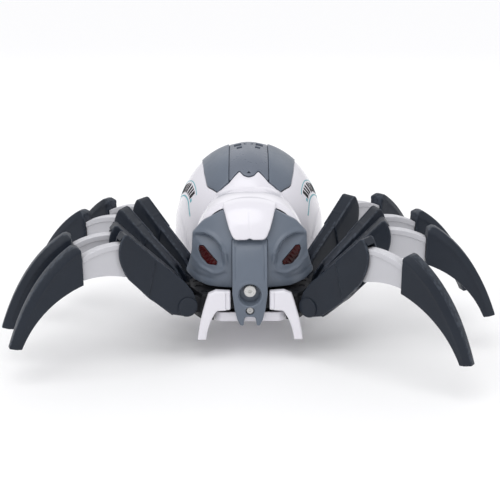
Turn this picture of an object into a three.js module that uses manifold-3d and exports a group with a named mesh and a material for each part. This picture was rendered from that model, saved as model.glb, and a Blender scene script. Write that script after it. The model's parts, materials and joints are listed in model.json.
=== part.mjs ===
// Spider robot toy: a wheeled, egg-shaped abdomen, a domed thorax with a face mask and
// mist nozzle, and eight jointed legs. Millimetres, +Z up. The robot faces -Y, its left
// side is +X, and the floor is z = 0.

import * as THREE from "three";
import { mergeVertices } from "three/addons/utils/BufferGeometryUtils.js";
import manifoldModule from "manifold-3d";

const wasm = await manifoldModule();
wasm.setup();

// ---------------------------------------------------------------- driving dimensions

const GAP = 0.3; // air between neighbouring pieces
const MIDDLE = [-0.5, 2.2, 0]; // brings the middle of the whole robot onto the origin

const ABDOMEN = {
  y: 58, // centre
  z: 54,
  halfX: 53.5,
  halfY: 72,
  up: 60.5, // half height above the centre
  down: 54, // half height below the centre, before the flat is cut
  wall: 2.4,
  flatZ: 4, // underside flat
  seamZ: 21, // joint between upper shell and lower hull
};
const COVER = { raise: 0.8, depth: 1.8, grooveX: 13.9, lowestZ: 62 };
const REAR_PANEL = { frontY: 62, bottom: 19, middle: 22, top: 8, middleZ: 62, topZ: 106 };
const TAIL_STRIP = { halfX: 3, lift: 1.6, thick: 3.4, fromDeg: 53, toDeg: 11, footDeg: [44, 16] };

const THORAX = { frontY: -54, rearY: 16, bottomZ: 54, wall: 2.2, roundness: 2.8 };
const MASK = { frontY: -62, sideDrop: 20, halfX: 42, leanZ: 70, lean: 14, thick: 2.6 };
const NOSE = { halfX: 11.2, topZ: 80.5, recessZ: 45.5, recessR: 7.6, frontY: -71.5 };
const NOZZLE = { r: 4.1, z: 47.3, frontY: -69.5, backY: -64.4 };
const NOSE_SCREW = { r: 2.4, z: 34.6 };
const EYE = { x: 27, z: 66.3, sunk: 0.8, thick: 1.8 };
const FANG = { frontY: -70.4, backY: -63.9 };

const BELLY_PAN = { lowZ: 24.6, rimZ: 31, wall: 1.1, lipRearY: -57, tongueHalfX: 15 };

const CHASSIS = {
  lowZ: [26, 29],
  topZ: [41.4, 43.4],
  blockHalfX: 12.5,
  blockY: [-56, -22],
  blockTop: 49,
  notchX: [12.6, 23.5],
  notchRearY: -36,
  notchTopZ: 33.5,
};

// Swing pivots, hip reach and leg attitudes. Each row is one leg, front to rear.
const PIVOT_X = [29.5, 34, 35.5, 30];
const PIVOT_Y = [-58, -47.5, -37.5, -22.5];
const YAW = { left: [-37, -1, 19, 41], right: [-21, -9, 22, 34] }; // degrees behind square
const HIP = { z: 36.4, reach: 13, bossR: 6.8, tongue: 4, slot: 4.6 };
const BARREL = { r: 4.2, pinR: 1.8 };
const LEVER = { length: 8, half: 1.4, z: [33.8, 36.2] };
const FEMUR = { arm: 9.6, head: 12, slot: 8.2 };
const KNEE = { u: 35, z: 36, rootR: 9 }; // from the hip pin, in the leg's own plane
const TIBIA_THICK = 7.4;
const CLAW_THICK = 12;

const WHEEL = { x: 27, y: 50, r: 13, half: 3.5, hubR: 2.2 };
const ROLLER = { y: 20, r: 7, half: 5, pinR: 1.5 };

// ---------------------------------------------------------------- solid modelling tools

function toSolid(geometry) {
  const bare = new THREE.BufferGeometry();
  bare.setAttribute("position", geometry.getAttribute("position"));
  if (geometry.index) bare.setIndex(geometry.index);
  const merged = mergeVertices(bare, 1e-4);
  const mesh = new wasm.Mesh({
    numProp: 3,
    vertProperties: new Float32Array(merged.getAttribute("position").array),
    triVerts: new Uint32Array(merged.index.array),
  });
  mesh.merge();
  return new wasm.Manifold(mesh);
}

function toGeometry(solid) {
  const mesh = solid.getMesh();
  const geometry = new THREE.BufferGeometry();
  geometry.setAttribute("position", new THREE.BufferAttribute(mesh.vertProperties, 3));
  geometry.setIndex(new THREE.BufferAttribute(mesh.triVerts, 1));
  const flat = geometry.toNonIndexed();
  flat.computeVertexNormals();
  return flat;
}

const join = (...solids) => solids.reduce((a, b) => a.add(b));
const cut = (first, ...tools) => tools.reduce((a, b) => a.subtract(b), first);
const common = (...solids) => solids.reduce((a, b) => a.intersect(b));

function box(x, y, z) {
  const geometry = new THREE.BoxGeometry(x[1] - x[0], y[1] - y[0], z[1] - z[0]);
  geometry.translate((x[0] + x[1]) / 2, (y[0] + y[1]) / 2, (z[0] + z[1]) / 2);
  return toSolid(geometry);
}

// A round bar between two stations along one axis.
function bar(axis, radius, from, to, centre, segments = 20) {
  const geometry = new THREE.CylinderGeometry(radius, radius, to - from, segments);
  if (axis === "x") geometry.rotateZ(-Math.PI / 2);
  if (axis === "z") geometry.rotateX(Math.PI / 2);
  const middle = (from + to) / 2;
  const place = { x: [middle, ...centre], y: [centre[0], middle, centre[1]], z: [...centre, middle] };
  geometry.translate(...place[axis]);
  return toSolid(geometry);
}

// Outline in the XY plane raised between two heights.
function prismZ(points, z0, z1) {
  const shape = new THREE.Shape(points.map(([x, y]) => new THREE.Vector2(x, y)));
  const geometry = new THREE.ExtrudeGeometry(shape, { depth: z1 - z0, bevelEnabled: false });
  geometry.translate(0, 0, z0);
  return toSolid(geometry);
}

// Outline in the XZ plane swept between two depths along Y, with an optional chamfer.
function prismY(points, y0, y1, chamfer = 0) {
  const shape = new THREE.Shape(points.map(([x, z]) => new THREE.Vector2(x, z)));
  const geometry = new THREE.ExtrudeGeometry(shape, {
    depth: y1 - y0 - 2 * chamfer,
    bevelEnabled: chamfer > 0,
    bevelThickness: chamfer,
    bevelSize: chamfer,
    bevelOffset: -chamfer,
    bevelSegments: 1,
  });
  geometry.rotateX(Math.PI / 2);
  geometry.translate(0, y1 - chamfer, 0);
  return toSolid(geometry);
}

// Outline in the YZ plane swept across X.
function prismX(points, x0, x1) {
  const shape = new THREE.Shape(points.map(([y, z]) => new THREE.Vector2(y, z)));
  const geometry = new THREE.ExtrudeGeometry(shape, { depth: x1 - x0, bevelEnabled: false });
  geometry.rotateY(Math.PI / 2);
  geometry.rotateX(Math.PI / 2);
  geometry.translate(x0, 0, 0);
  return toSolid(geometry);
}

function anticlockwise(points) {
  const area = THREE.ShapeUtils.area(points.map(([x, y]) => new THREE.Vector2(x, y)));
  return area > 0 ? points : [...points].reverse();
}

// Moves each side of an outline outward by one distance.
function grow(outline, distance) {
  const points = anticlockwise(outline);
  return points.map((point, i) => {
    const before = points[(i + points.length - 1) % points.length];
    const after = points[(i + 1) % points.length];
    const a = new THREE.Vector2(point[0] - before[0], point[1] - before[1]).normalize();
    const b = new THREE.Vector2(after[0] - point[0], after[1] - point[1]).normalize();
    const bisector = new THREE.Vector2(a.y + b.y, -a.x - b.x);
    const scale = distance / Math.max(1 + a.dot(b), 0.35);
    return [point[0] + bisector.x * scale, point[1] + bisector.y * scale];
  });
}

// Completes an outline that is symmetric about x = 0 from the points of one half.
function bothSides(half) {
  const other = half.filter(([x]) => x !== 0).map(([x, y]) => [-x, y]);
  return [...half, ...other.reverse()];
}

function arc(centre, radius, fromDeg, toDeg, steps) {
  return Array.from({ length: steps + 1 }, (_, i) => {
    const angle = THREE.MathUtils.degToRad(fromDeg + ((toDeg - fromDeg) * i) / steps);
    return [centre[0] + radius * Math.cos(angle), centre[1] + radius * Math.sin(angle)];
  });
}

function bend(from, control, to, steps) {
  const curve = new THREE.QuadraticBezierCurve(
    new THREE.Vector2(...from),
    new THREE.Vector2(...control),
    new THREE.Vector2(...to),
  );
  return curve.getPoints(steps).map((p) => [p.x, p.y]);
}

// A closed slab between a front and a back surface, each a function of column and row.
function slab(columns, rows, front, back) {
  const positions = [];
  const index = [];
  const sheets = [front, back];
  for (const surface of sheets)
    for (let r = 0; r <= rows; r += 1)
      for (let c = 0; c <= columns; c += 1) positions.push(...surface(c / columns, r / rows));
  const at = (sheet, c, r) => sheet * (columns + 1) * (rows + 1) + r * (columns + 1) + c;
  const quad = (a, b, c, d) => index.push(a, b, c, a, c, d);
  for (let r = 0; r < rows; r += 1)
    for (let c = 0; c < columns; c += 1) {
      quad(at(0, c, r), at(0, c + 1, r), at(0, c + 1, r + 1), at(0, c, r + 1));
      quad(at(1, c, r), at(1, c, r + 1), at(1, c + 1, r + 1), at(1, c + 1, r));
    }
  for (let c = 0; c < columns; c += 1) {
    quad(at(0, c + 1, 0), at(0, c, 0), at(1, c, 0), at(1, c + 1, 0));
    quad(at(0, c, rows), at(0, c + 1, rows), at(1, c + 1, rows), at(1, c, rows));
  }
  for (let r = 0; r < rows; r += 1) {
    quad(at(0, 0, r), at(0, 0, r + 1), at(1, 0, r + 1), at(1, 0, r));
    quad(at(0, columns, r + 1), at(0, columns, r), at(1, columns, r), at(1, columns, r + 1));
  }
  const geometry = new THREE.BufferGeometry();
  geometry.setAttribute("position", new THREE.Float32BufferAttribute(positions, 3));
  geometry.setIndex(index);
  const solid = toSolid(geometry);
  if (solid.volume() > 0) return solid;
  geometry.setIndex(index.reverse());
  return toSolid(geometry);
}

const lerpTable = (stations, values, at) => {
  const last = stations.length - 1;
  if (at <= stations[0]) return values[0];
  if (at >= stations[last]) return values[last];
  const i = stations.findIndex((s) => s > at) - 1;
  const t = (at - stations[i]) / (stations[i + 1] - stations[i]);
  return values[i] + (values[i + 1] - values[i]) * t;
};

// ---------------------------------------------------------------- materials

const paint = {
  white: { color: 0xeceaf1, roughness: 0.25, metalness: 0 },
  blueGray: { color: 0x6b7480, roughness: 0.3, metalness: 0.1 },
  slate: { color: 0x2b333d, roughness: 0.4, metalness: 0.1 },
  black: { color: 0x15171a, roughness: 0.5, metalness: 0 },
  silver: { color: 0xb9bcc4, roughness: 0.35, metalness: 0.6 },
  lens: { color: 0x4a0b10, roughness: 0.15, metalness: 0 },
  smoke: { color: 0x8b919c, roughness: 0.15, metalness: 0 },
  rubber: { color: 0x202124, roughness: 0.9, metalness: 0 },
  green: { color: 0x1f5a3c, roughness: 0.6, metalness: 0 },
  water: { color: 0xbcd3dd, roughness: 0.1, metalness: 0 },
};

const robot = new THREE.Group();
robot.position.set(...MIDDLE);

function addPiece(name, solid, colour, parent = robot) {
  const mesh = new THREE.Mesh(toGeometry(solid), new THREE.MeshStandardMaterial(paint[colour]));
  mesh.name = name;
  parent.add(mesh);
  return mesh;
}

// ---------------------------------------------------------------- abdomen

// The egg form moved outward by a distance, as an ellipsoid with unequal halves.
function egg(offset, around = 28, along = 18) {
  const geometry = new THREE.SphereGeometry(1, around, along);
  const position = geometry.getAttribute("position");
  for (let i = 0; i < position.count; i += 1) {
    const half = position.getZ(i) > 0 ? ABDOMEN.up : ABDOMEN.down;
    position.setXYZ(
      i,
      position.getX(i) * (ABDOMEN.halfX + offset),
      ABDOMEN.y + position.getY(i) * (ABDOMEN.halfY + offset),
      ABDOMEN.z + position.getZ(i) * (half + offset),
    );
  }
  return toSolid(geometry);
}

const FAR = 200;
const above = (z) => box([-FAR, FAR], [-FAR, FAR], [z, FAR]);
const below = (z) => box([-FAR, FAR], [-FAR, FAR], [-FAR, z]);

const windowOutline = bothSides([
  [0, 98],
  [8, 97],
  [COVER.grooveX, 93],
  [COVER.grooveX, 12.6],
  [6.5, 19.7],
  [3.5, 15.3],
  [0, 13.8],
]);

const fenderOutline = [
  [COVER.grooveX, 12.4],
  [21.5, 9.5],
  [29, 19],
  [31.5, 36],
  [33, 56],
  [34, 71],
  [33.5, 82],
  [31.5, 91],
  [28, 92],
  [24, 90.5],
  [COVER.grooveX, 92],
];

const rearOutline = bothSides([
  [REAR_PANEL.bottom, 0],
  [REAR_PANEL.bottom, ABDOMEN.seamZ],
  [REAR_PANEL.middle, REAR_PANEL.middleZ],
  [18, 86],
  [REAR_PANEL.top, REAR_PANEL.topZ],
  [REAR_PANEL.top, 130],
]);

const mirrored = (points) => points.map(([x, y]) => [-x, y]);

function coverPrism(outline, offset) {
  return prismZ(grow(outline, offset), COVER.lowestZ, FAR);
}

function rearPrism(offset) {
  return prismY(grow(rearOutline, offset), REAR_PANEL.frontY - offset, FAR);
}

// Prisms that clear a shell for the window and the two fenders.
const coverOpenings = () =>
  [windowOutline, fenderOutline, mirrored(fenderOutline)].map((outline) => coverPrism(outline, GAP));

function buildAbdomen() {
  const outer = egg(0);
  const inner = egg(-ABDOMEN.wall, 20, 12);
  const upper = common(cut(outer, inner), above(ABDOMEN.seamZ + GAP / 2));
  const shell = cut(upper, ...coverOpenings());
  addPiece("abdomen_upper_shell", cut(shell, rearPrism(GAP / 2)), "white");
  addPiece("abdomen_rear_panel", common(shell, rearPrism(-GAP / 2)), "white");

  const coverLayer = cut(egg(COVER.raise), egg(-COVER.depth, 20, 12));
  addPiece("fender_left", common(coverLayer, coverPrism(grow(fenderOutline, -GAP / 2), 0)), "blueGray");
  addPiece(
    "fender_right",
    common(coverLayer, coverPrism(grow(mirrored(fenderOutline), -GAP / 2), 0)),
    "blueGray",
  );
  const windowLayer = cut(egg(COVER.raise / 2), egg(-COVER.depth, 20, 12));
  addPiece("top_window", common(windowLayer, coverPrism(grow(windowOutline, -GAP / 2), 0)), "smoke");

  buildHull(outer);
  buildTailStrip();
}

// Lower hull: a tray with a flat underside, two wheel wells and a front roller fork.
function buildHull(outer) {
  const floorInside = ABDOMEN.flatZ + ABDOMEN.wall;
  const inner = common(egg(-ABDOMEN.wall, 20, 12), above(floorInside));
  const tray = common(outer, below(ABDOMEN.seamZ - GAP / 2), above(ABDOMEN.flatZ));
  const axle = [WHEEL.y, WHEEL.r];
  const sides = [-1, 1];
  const span = (a, b, side) => [Math.min(a * side, b * side), Math.max(a * side, b * side)];
  const drum = (r, a, b, side) => bar("x", r, ...span(a, b, side), axle, 22);
  const room = [WHEEL.x - WHEEL.half - 1, WHEEL.x + WHEEL.half + 1];
  const wells = sides.map((s) =>
    common(
      drum(WHEEL.r + 3.2, room[0] - 2, room[1] + 2, s),
      box([-FAR, FAR], [-FAR, FAR], [2, ABDOMEN.seamZ - GAP / 2]),
    ),
  );
  const rooms = sides.map((s) => drum(WHEEL.r + 1, ...room, s));
  const axleHoles = sides.map((s) => drum(WHEEL.hubR + 0.5, room[0] - 3, room[0] + 1, s));

  const slot = box([-6, 6], [ROLLER.y - 8.5, ROLLER.y + 8.5], [-1, 16]);
  const ears = sides.map((s) => box(span(6, 9, s), [ROLLER.y - 4, ROLLER.y + 5], [3, 15]));
  const pinHole = bar("x", ROLLER.pinR + 0.4, -10, 10, [ROLLER.y, ROLLER.r], 16);

  const doorHole = box([-13.3, 13.3], [57.7, 77.3], [0, 10]);
  const switchSlot = box([-5, 5], [40.5, 43.5], [0, 10]);
  const hollow = cut(tray, inner);
  const full = cut(join(hollow, ...wells, ...ears), slot, pinHole, ...rooms, ...axleHoles);
  addPiece("abdomen_lower_hull", join(cut(full, doorHole, switchSlot), bellyPan()), "white");

  addPiece("battery_door", box([-13, 13], [58, 77], [ABDOMEN.flatZ, floorInside]), "white");
  const knob = join(
    box([-4, 0], [40.9, 43.1], [2.8, 7]),
    box([-4.4, 0.4], [39.6, 44.4], [floorInside + GAP, 7.6]),
  );
  addPiece("power_switch", knob, "black");

  for (const [name, side] of [["drive_wheel_left", 1], ["drive_wheel_right", -1]]) {
    const tread = drum(WHEEL.r, WHEEL.x - WHEEL.half, WHEEL.x + WHEEL.half, side);
    const stub = bar("x", WHEEL.hubR, ...span(19, WHEEL.x, side), axle, 16);
    addPiece(name, join(tread, stub), "rubber");
  }
  const roller = join(
    bar("x", ROLLER.r, -ROLLER.half, ROLLER.half, [ROLLER.y, ROLLER.r], 24),
    bar("x", ROLLER.pinR, -8.6, 8.6, [ROLLER.y, ROLLER.r], 16),
  );
  addPiece("front_roller", roller, "rubber");
}

// Shallow pan that closes the thorax from below, with a wall under the fangs and a tongue
// that runs down to the hull.
function bellyPan() {
  const { lowZ, rimZ, wall, lipRearY, tongueHalfX } = BELLY_PAN;
  const outline = bothSides([
    [19, -63.2],
    [23.2, -60],
    [23.2, -24],
    [19, -6.5],
  ]);
  const floor = prismZ(outline, lowZ, lowZ + wall);
  const inside = prismZ(grow(outline, -wall), lowZ - 1, rimZ + 1);
  const behindLip = box([-FAR, FAR], [lipRearY, FAR], [lowZ - 1, rimZ + 1]);
  const lip = cut(prismZ(outline, lowZ, rimZ), inside, behindLip);
  const tongue = [
    [-9, lowZ],
    [-9, lowZ + wall],
    [-6, lowZ + wall],
    [0.4, 20.6],
    [4, 20.6],
    [3.4, 17.6],
    [-0.4, 18.6],
    [-7, lowZ],
  ];
  return join(floor, lip, prismX(tongue, -tongueHalfX, tongueHalfX));
}

// Point on the abdomen's centre line at an angle up from the rear, moved outward.
function sternPoint(deg, offset) {
  const angle = THREE.MathUtils.degToRad(deg);
  return [
    ABDOMEN.y + Math.cos(angle) * (ABDOMEN.halfY + offset),
    ABDOMEN.z + Math.sin(angle) * (ABDOMEN.up + offset),
  ];
}

function buildTailStrip() {
  const { halfX, lift, thick, fromDeg, toDeg, footDeg } = TAIL_STRIP;
  const steps = 12;
  const run = (a, b, offset) =>
    Array.from({ length: steps + 1 }, (_, i) => sternPoint(a + ((b - a) * i) / steps, offset));
  const strip = prismX([...run(fromDeg, toDeg, lift), ...run(toDeg, fromDeg, lift + thick)], -halfX, halfX);
  const feet = footDeg.map((deg) =>
    prismX([...run(deg + 2, deg - 2, GAP + 0.2), ...run(deg - 2, deg + 2, lift + 1)], -halfX + 1, halfX - 1),
  );
  addPiece("tail_strip", join(strip, ...feet), "slate");
}

// ---------------------------------------------------------------- thorax and face

const thoraxHalf = (y) => lerpTable([-54, -40, -20, -8, 16], [34, 37.5, 36.2, 34.2, 32.6], y);
const thoraxTop = (y) => lerpTable([-54, -46, -36, -22, -6, 4, 16], [93, 98, 100.3, 100.5, 96.5, 96, 99], y);

// Arched hood from bottom left over the top to bottom right.
function hood(inset, bottom) {
  const columns = 16;
  const rows = 8;
  const ring = (t, y, grow) => {
    const angle = Math.PI * (1 - t);
    const power = 2 / THORAX.roundness;
    const half = thoraxHalf(y) - inset;
    const rise = thoraxTop(y) - inset - bottom;
    const x = Math.sign(Math.cos(angle)) * Math.abs(Math.cos(angle)) ** power * half;
    const z = bottom + Math.abs(Math.sin(angle)) ** power * rise * grow;
    return [x, z];
  };
  const surface = (grow) => (c, r) => {
    const y = THORAX.frontY + (THORAX.rearY - THORAX.frontY) * r;
    const [x, z] = ring(c, y, grow);
    return [x, y, grow ? z : bottom - 5];
  };
  return slab(columns, rows, surface(1), surface(0));
}

const maskRim = [
  [0, 46.8],
  [13, 46.8],
  [27, 46],
  [36, 48.8],
  [42, 54.5],
  [39.5, 62],
  [37.5, 70],
  [36, 81.5],
  [29, 89],
  [16.5, 95],
  [0, 97.5],
];

// Depth of the mask's front face at a point of its outline plane.
function maskY(x, z, offset = 0) {
  const side = MASK.sideDrop * (Math.abs(x) / MASK.halfX) ** 2.2;
  const lean = z > MASK.leanZ ? MASK.lean * ((z - MASK.leanZ) / 25) ** 1.5 : 0;
  return MASK.frontY + side + lean + offset;
}

function maskLayer(nearOffset, farOffset, halfWidth) {
  const zLow = 40;
  const zHigh = 102;
  const surface = (offset) => (c, r) => {
    const x = halfWidth * (2 * c - 1);
    const z = zLow + (zHigh - zLow) * r;
    return [x, maskY(x, z, offset), z];
  };
  return slab(14, 9, surface(nearOffset), surface(farOffset));
}

const noseFront = bothSides([
  [6.5, NOSE.topZ],
  [NOSE.halfX, 75.6],
  [NOSE.halfX, 46],
  [9.8, 35],
  [8.2, 28],
  [6.2, 23.8],
  [4.2, 23.8],
  [3.6, 31],
]);

function noseSolid(clearance) {
  const side = [
    [-55.5, NOSE.topZ],
    [-57.6, NOSE.topZ],
    [-59.2, 78],
    [-63.6, 73.4],
    [-67.5, 66],
    [-70.5, 56],
    [NOSE.frontY, 45],
    [-71, 34],
    [-69, 23.8],
    [-64.5, 23.8],
    [-63.6, 30],
    [-63.6, 43.8],
    [-57.5, 44.2],
  ];
  const profile = prismX(grow(side, clearance), -NOSE.halfX - clearance, NOSE.halfX + clearance);
  return common(profile, prismY(grow(noseFront, clearance), -90, -50));
}

// Left eye lens outline, centred on the eye.
const eyeOutline = [
  [5.5, 5.9],
  [2.7, 6.2],
  [-6.2, -3.1],
  [-5.5, -5.2],
  [0, -5.5],
  [4.1, -1.7],
  [5.9, 3.1],
];

function eyePrism(side, clearance, y0, y1) {
  const outline = grow(eyeOutline, clearance).map(([x, z]) => [side * (EYE.x + x), EYE.z + z]);
  return prismY(outline, y0, y1);
}

const fangOutline = [
  [12.2, 47.2],
  [12.2, 34.2],
  [21.2, 33.8],
  ...bend([21.2, 33.8], [27.2, 25.5], [28.2, 14], 5).slice(1),
  [34.2, 13.8],
  ...bend([34.2, 13.8], [32.2, 30.5], [26.8, 45.6], 6).slice(1),
  [22, 47.8],
];

function buildHead() {
  const behindMask = maskLayer(-60, MASK.thick + GAP, 60);
  const nearAbdomen = egg(GAP);
  const dome = cut(hood(0, THORAX.bottomZ), hood(THORAX.wall, THORAX.bottomZ - 1));
  const seated = common(dome, above(THORAX.bottomZ));
  const trimmed = cut(seated, behindMask, nearAbdomen, ...coverOpenings());
  addPiece("thorax_shell", join(trimmed, foreheadPlate()), "white");

  const mask = common(maskLayer(0, MASK.thick, 50), prismY(bothSides(maskRim), -80, -20));
  const eyeHoles = [1, -1].map((s) => eyePrism(s, GAP, -80, -20));
  addPiece("face_mask", cut(mask, noseSolid(GAP), ...eyeHoles), "blueGray");
  const lensLayer = maskLayer(EYE.sunk, EYE.sunk + EYE.thick, 50);
  addPiece("eye_lens_left", common(lensLayer, eyePrism(1, 0, -80, -20)), "lens");
  addPiece("eye_lens_right", common(lensLayer, eyePrism(-1, 0, -80, -20)), "lens");

  const recess = bar("y", NOSE.recessR, -90, NOZZLE.backY - GAP, [0, NOSE.recessZ], 28);
  const screwHole = bar("y", NOSE_SCREW.r + GAP, -90, -67.8, [0, NOSE_SCREW.z], 16);
  addPiece("nose_housing", cut(noseSolid(0), recess, screwHole), "blueGray");
  addPiece("mist_nozzle", bar("y", NOZZLE.r, NOZZLE.frontY, NOZZLE.backY - 2 * GAP, [0, NOZZLE.z], 24), "silver");
  addPiece("nose_screw", bar("y", NOSE_SCREW.r, -70.4, -68.1, [0, NOSE_SCREW.z], 16), "silver");

  for (const [name, side] of [["fang_left", 1], ["fang_right", -1]]) {
    const outlineXZ = fangOutline.map(([x, z]) => [side * x, z]);
    const fang = prismY(outlineXZ, FANG.frontY, FANG.backY, 0.8);
    addPiece(name, fang, "white");
  }
}

// White plate that runs from the dome down over the mask's brow.
function foreheadPlate() {
  const stations = [0, 0.3, 0.55, 0.8, 1];
  const depth = (r) => lerpTable(stations, [-26, -42, -52, -59.3, -63.4], r);
  const height = (r) => lerpTable(stations, [100.5, 102, 98, 89.5, 80], r);
  const half = (r) => lerpTable(stations, [18, 17.6, 16.4, 14.2, 10.5], r);
  const surface = (offset) => (c, r) => {
    const side = 2 * c - 1;
    const back = 1 - Math.min(r * 1.4, 1);
    return [
      half(r) * side,
      depth(r) + 1.6 * side * side + offset * (1 - back * 0.6),
      height(r) - 2.6 * side * side - offset * (0.35 + 0.65 * back),
    ];
  };
  return slab(6, 9, surface(0), surface(2));
}

// ---------------------------------------------------------------- chassis and inner pieces

function buildChassis() {
  const pads = (grown) =>
    bothSides([
      [14, -63.2],
      [24, -63.2],
      [PIVOT_X[0] + 1, PIVOT_Y[0] - grown],
      [PIVOT_X[0] + grown, PIVOT_Y[0] + 1],
      [PIVOT_X[1] + grown, PIVOT_Y[1]],
      [PIVOT_X[2] + grown, PIVOT_Y[2] + 2],
      [PIVOT_X[3] + grown, PIVOT_Y[3] + 2],
      [PIVOT_X[3] - 4, -8],
      [16, 2],
    ]);
  const plate = (z) => prismZ(pads(4.6), ...z);
  const [y0, y1] = CHASSIS.blockY;
  const block = box([-CHASSIS.blockHalfX, CHASSIS.blockHalfX], [y0, y1], [CHASSIS.lowZ[0], CHASSIS.blockTop]);
  const bay = box([-10.5, 10.5], [y0 + 2, y1 - 2], [CHASSIS.lowZ[1], 60]);
  const frontWall = box([-17, 17], [-63.2, -60.8], [CHASSIS.notchTopZ + GAP, CHASSIS.topZ[1]]);
  const rearWall = box([-26, 26], [-12, 4], [CHASSIS.lowZ[0], CHASSIS.topZ[1]]);
  const pinHoles = [1, -1].flatMap((s) =>
    PIVOT_X.map((x, i) => bar("z", BARREL.pinR + GAP, 20, 60, [s * x, PIVOT_Y[i]], 12)),
  );
  const frame = join(plate(CHASSIS.lowZ), plate(CHASSIS.topZ), block, frontWall, rearWall);
  // Room for the belly pan's front wall, and on both sides of the block.
  const [near, far] = CHASSIS.notchX;
  const notchZ = [20, CHASSIS.notchTopZ];
  const notches = [[near, far], [-far, -near]].map((x) => box(x, [-70, CHASSIS.notchRearY], notchZ));
  notches.push(box([-far, far], [-70, -59], notchZ));
  const bays = cut(frame, bay, egg(GAP), ...pinHoles, ...notches);
  addPiece("thorax_chassis", bays, "black");
}

// Flat bar that pushes the four swing levers of one side.
function buildGaitLinks() {
  const innerX = 14.5;
  for (const [name, side] of [["gait_link_left", 1], ["gait_link_right", -1]]) {
    const edge = PIVOT_X.map((x, i) => [x - BARREL.r - 1.9, PIVOT_Y[i]]);
    const outline = [
      [innerX, PIVOT_Y[0] - 1.2],
      [edge[0][0], PIVOT_Y[0] - 1.2],
      ...edge.slice(1),
      [edge[3][0], PIVOT_Y[3] + 4],
      [innerX, PIVOT_Y[3] + 4],
    ];
    const placed = outline.map(([x, y]) => [side * x, y]);
    const strip = prismZ(placed, LEVER.z[0] - 2.4, LEVER.z[0] - GAP);
    const pins = PIVOT_X.map((x, i) =>
      bar("z", 1.1, LEVER.z[0] - 1, LEVER.z[1], [side * (x - LEVER.length), PIVOT_Y[i]], 12),
    );
    addPiece(name, join(strip, ...pins), "slate");
  }
}

function buildInnerPieces() {
  addPiece("drive_gearbox", box([-18.4, 18.4], [42, 57], [9, 30]), "black");
  addPiece("battery_pack", box([-18, 18], [64, 96], [17, 44]), "slate");
  addPiece("circuit_board", box([-26, 26], [28, 84], [60, 61.6]), "green");
  const tank = cut(box([-16, 16], [-42, -14], [52, 82]), box([-14, 14], [-40, -16], [54, 90]));
  addPiece("water_tank", tank, "water");
}

// ---------------------------------------------------------------- legs

// All leg outlines lie in the leg's own plane: u outward from the hip pin, z up.

const femurArm = [
  ...arc([0, 0], HIP.bossR, 150, 300, 8),
  [10, -5.2],
  [25, 8.6],
  [30, 14],
  [24, 38.2],
  [1.5, 17],
  [-4, 9.5],
];
const femurHead = [
  [20, 34.6],
  [26, 10],
  [38.4, 23.4],
  ...bend([38.4, 23.4], [48.5, 41], [39.7, 52.7], 6).slice(1),
  [37.6, 52.2],
];
const femurSlot = [
  ...arc([KNEE.u, KNEE.z], KNEE.rootR + 0.6, 135, 250, 7),
  [34, 12],
  [70, 0],
  [70, 49],
  [41, 49],
  [36.6, 48],
];

const tibiaOutline = [
  ...arc([KNEE.u, KNEE.z], KNEE.rootR, 100, 260, 8),
  ...bend([40, 24.6], [53, 28.6], [66.4, 25.6], 4),
  [66.6, 40.5],
  ...bend([66.6, 40.5], [55, 46.6], [42, 46.4], 4).slice(1),
];

const clawOutline = [
  [67.4, 46],
  [66.9, 40],
  [66.7, 23.4],
  ...bend([66.7, 23.4], [93.9, 14.2], [106.6, -14], 6).slice(1),
  [114.3, -12.8],
  ...bend([114.3, -12.8], [99.5, 30.8], [72.4, 47.6], 6).slice(1),
  [70, 48],
];

const slabY = (outline, thick, chamfer = 0) => prismY(outline, -thick / 2, thick / 2, chamfer);

const shapes = {
  femur: () => {
    const arm = slabY(femurArm, FEMUR.arm);
    const head = slabY(femurHead, FEMUR.head);
    return cut(join(arm, head), slabY(femurSlot, FEMUR.slot), slabY(hipSlotOutline(), HIP.slot));
  },
  tibia: () => slabY(tibiaOutline, TIBIA_THICK),
  claw: () => slabY(clawOutline, CLAW_THICK, 2),
};

// Room for the hip tongue: a disc about the pin, open toward the chassis and below.
function hipSlotOutline() {
  return [...arc([0, 0], HIP.bossR, 75, -75, 6), [-14, -16], [-14, 24], [0, 12]];
}

function hipArm(yawDeg) {
  const [low, high] = [CHASSIS.lowZ[1] + GAP - HIP.z, CHASSIS.topZ[0] - GAP - HIP.z];
  const tongue = slabY([...arc([0, 0], 5.6, -90, 90, 7), [-11, 4.6], [-11, -5.6]], HIP.tongue);
  const barrel = bar("z", BARREL.r, low, high, [-HIP.reach, 0], 12);
  const pin = bar("z", BARREL.pinR, low - 2.6, high + 1.9, [-HIP.reach, 0], 10);
  const z = LEVER.z.map((h) => h - HIP.z);
  const [from, to] = [LEVER.length + 2.6, 0];
  const slotted = cut(
    box([-from, to], [-LEVER.half * 1.9, LEVER.half * 1.9], z),
    box([-LEVER.length - 1.5, -LEVER.length + 1.5], [-1.5, 1.5], [z[0] - 1, z[1] + 1]),
  );
  const lever = slotted.rotate([0, 0, -yawDeg]).translate([-HIP.reach, 0, 0]);
  return join(tongue, barrel, pin, lever);
}

function buildLeg(sideName, number) {
  const i = number - 1;
  const side = sideName === "left" ? 1 : -1;
  const yaw = YAW[sideName][i];
  const heading = side > 0 ? yaw : 180 - yaw;
  const leg = new THREE.Group();
  leg.rotation.z = THREE.MathUtils.degToRad(heading);
  const reach = new THREE.Vector3(HIP.reach, 0, 0).applyEuler(leg.rotation);
  leg.position.set(side * PIVOT_X[i] + reach.x, PIVOT_Y[i] + reach.y, HIP.z);
  robot.add(leg);
  addPiece(`hip_arm_${sideName}_${number}`, hipArm(side * yaw), "black", leg);
  addPiece(`femur_${sideName}_${number}`, shapes.femur(), "slate", leg);
  addPiece(`tibia_${sideName}_${number}`, shapes.tibia(), "silver", leg);
  addPiece(`claw_${sideName}_${number}`, shapes.claw(), "slate", leg);
}

// ---------------------------------------------------------------- assembly

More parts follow.
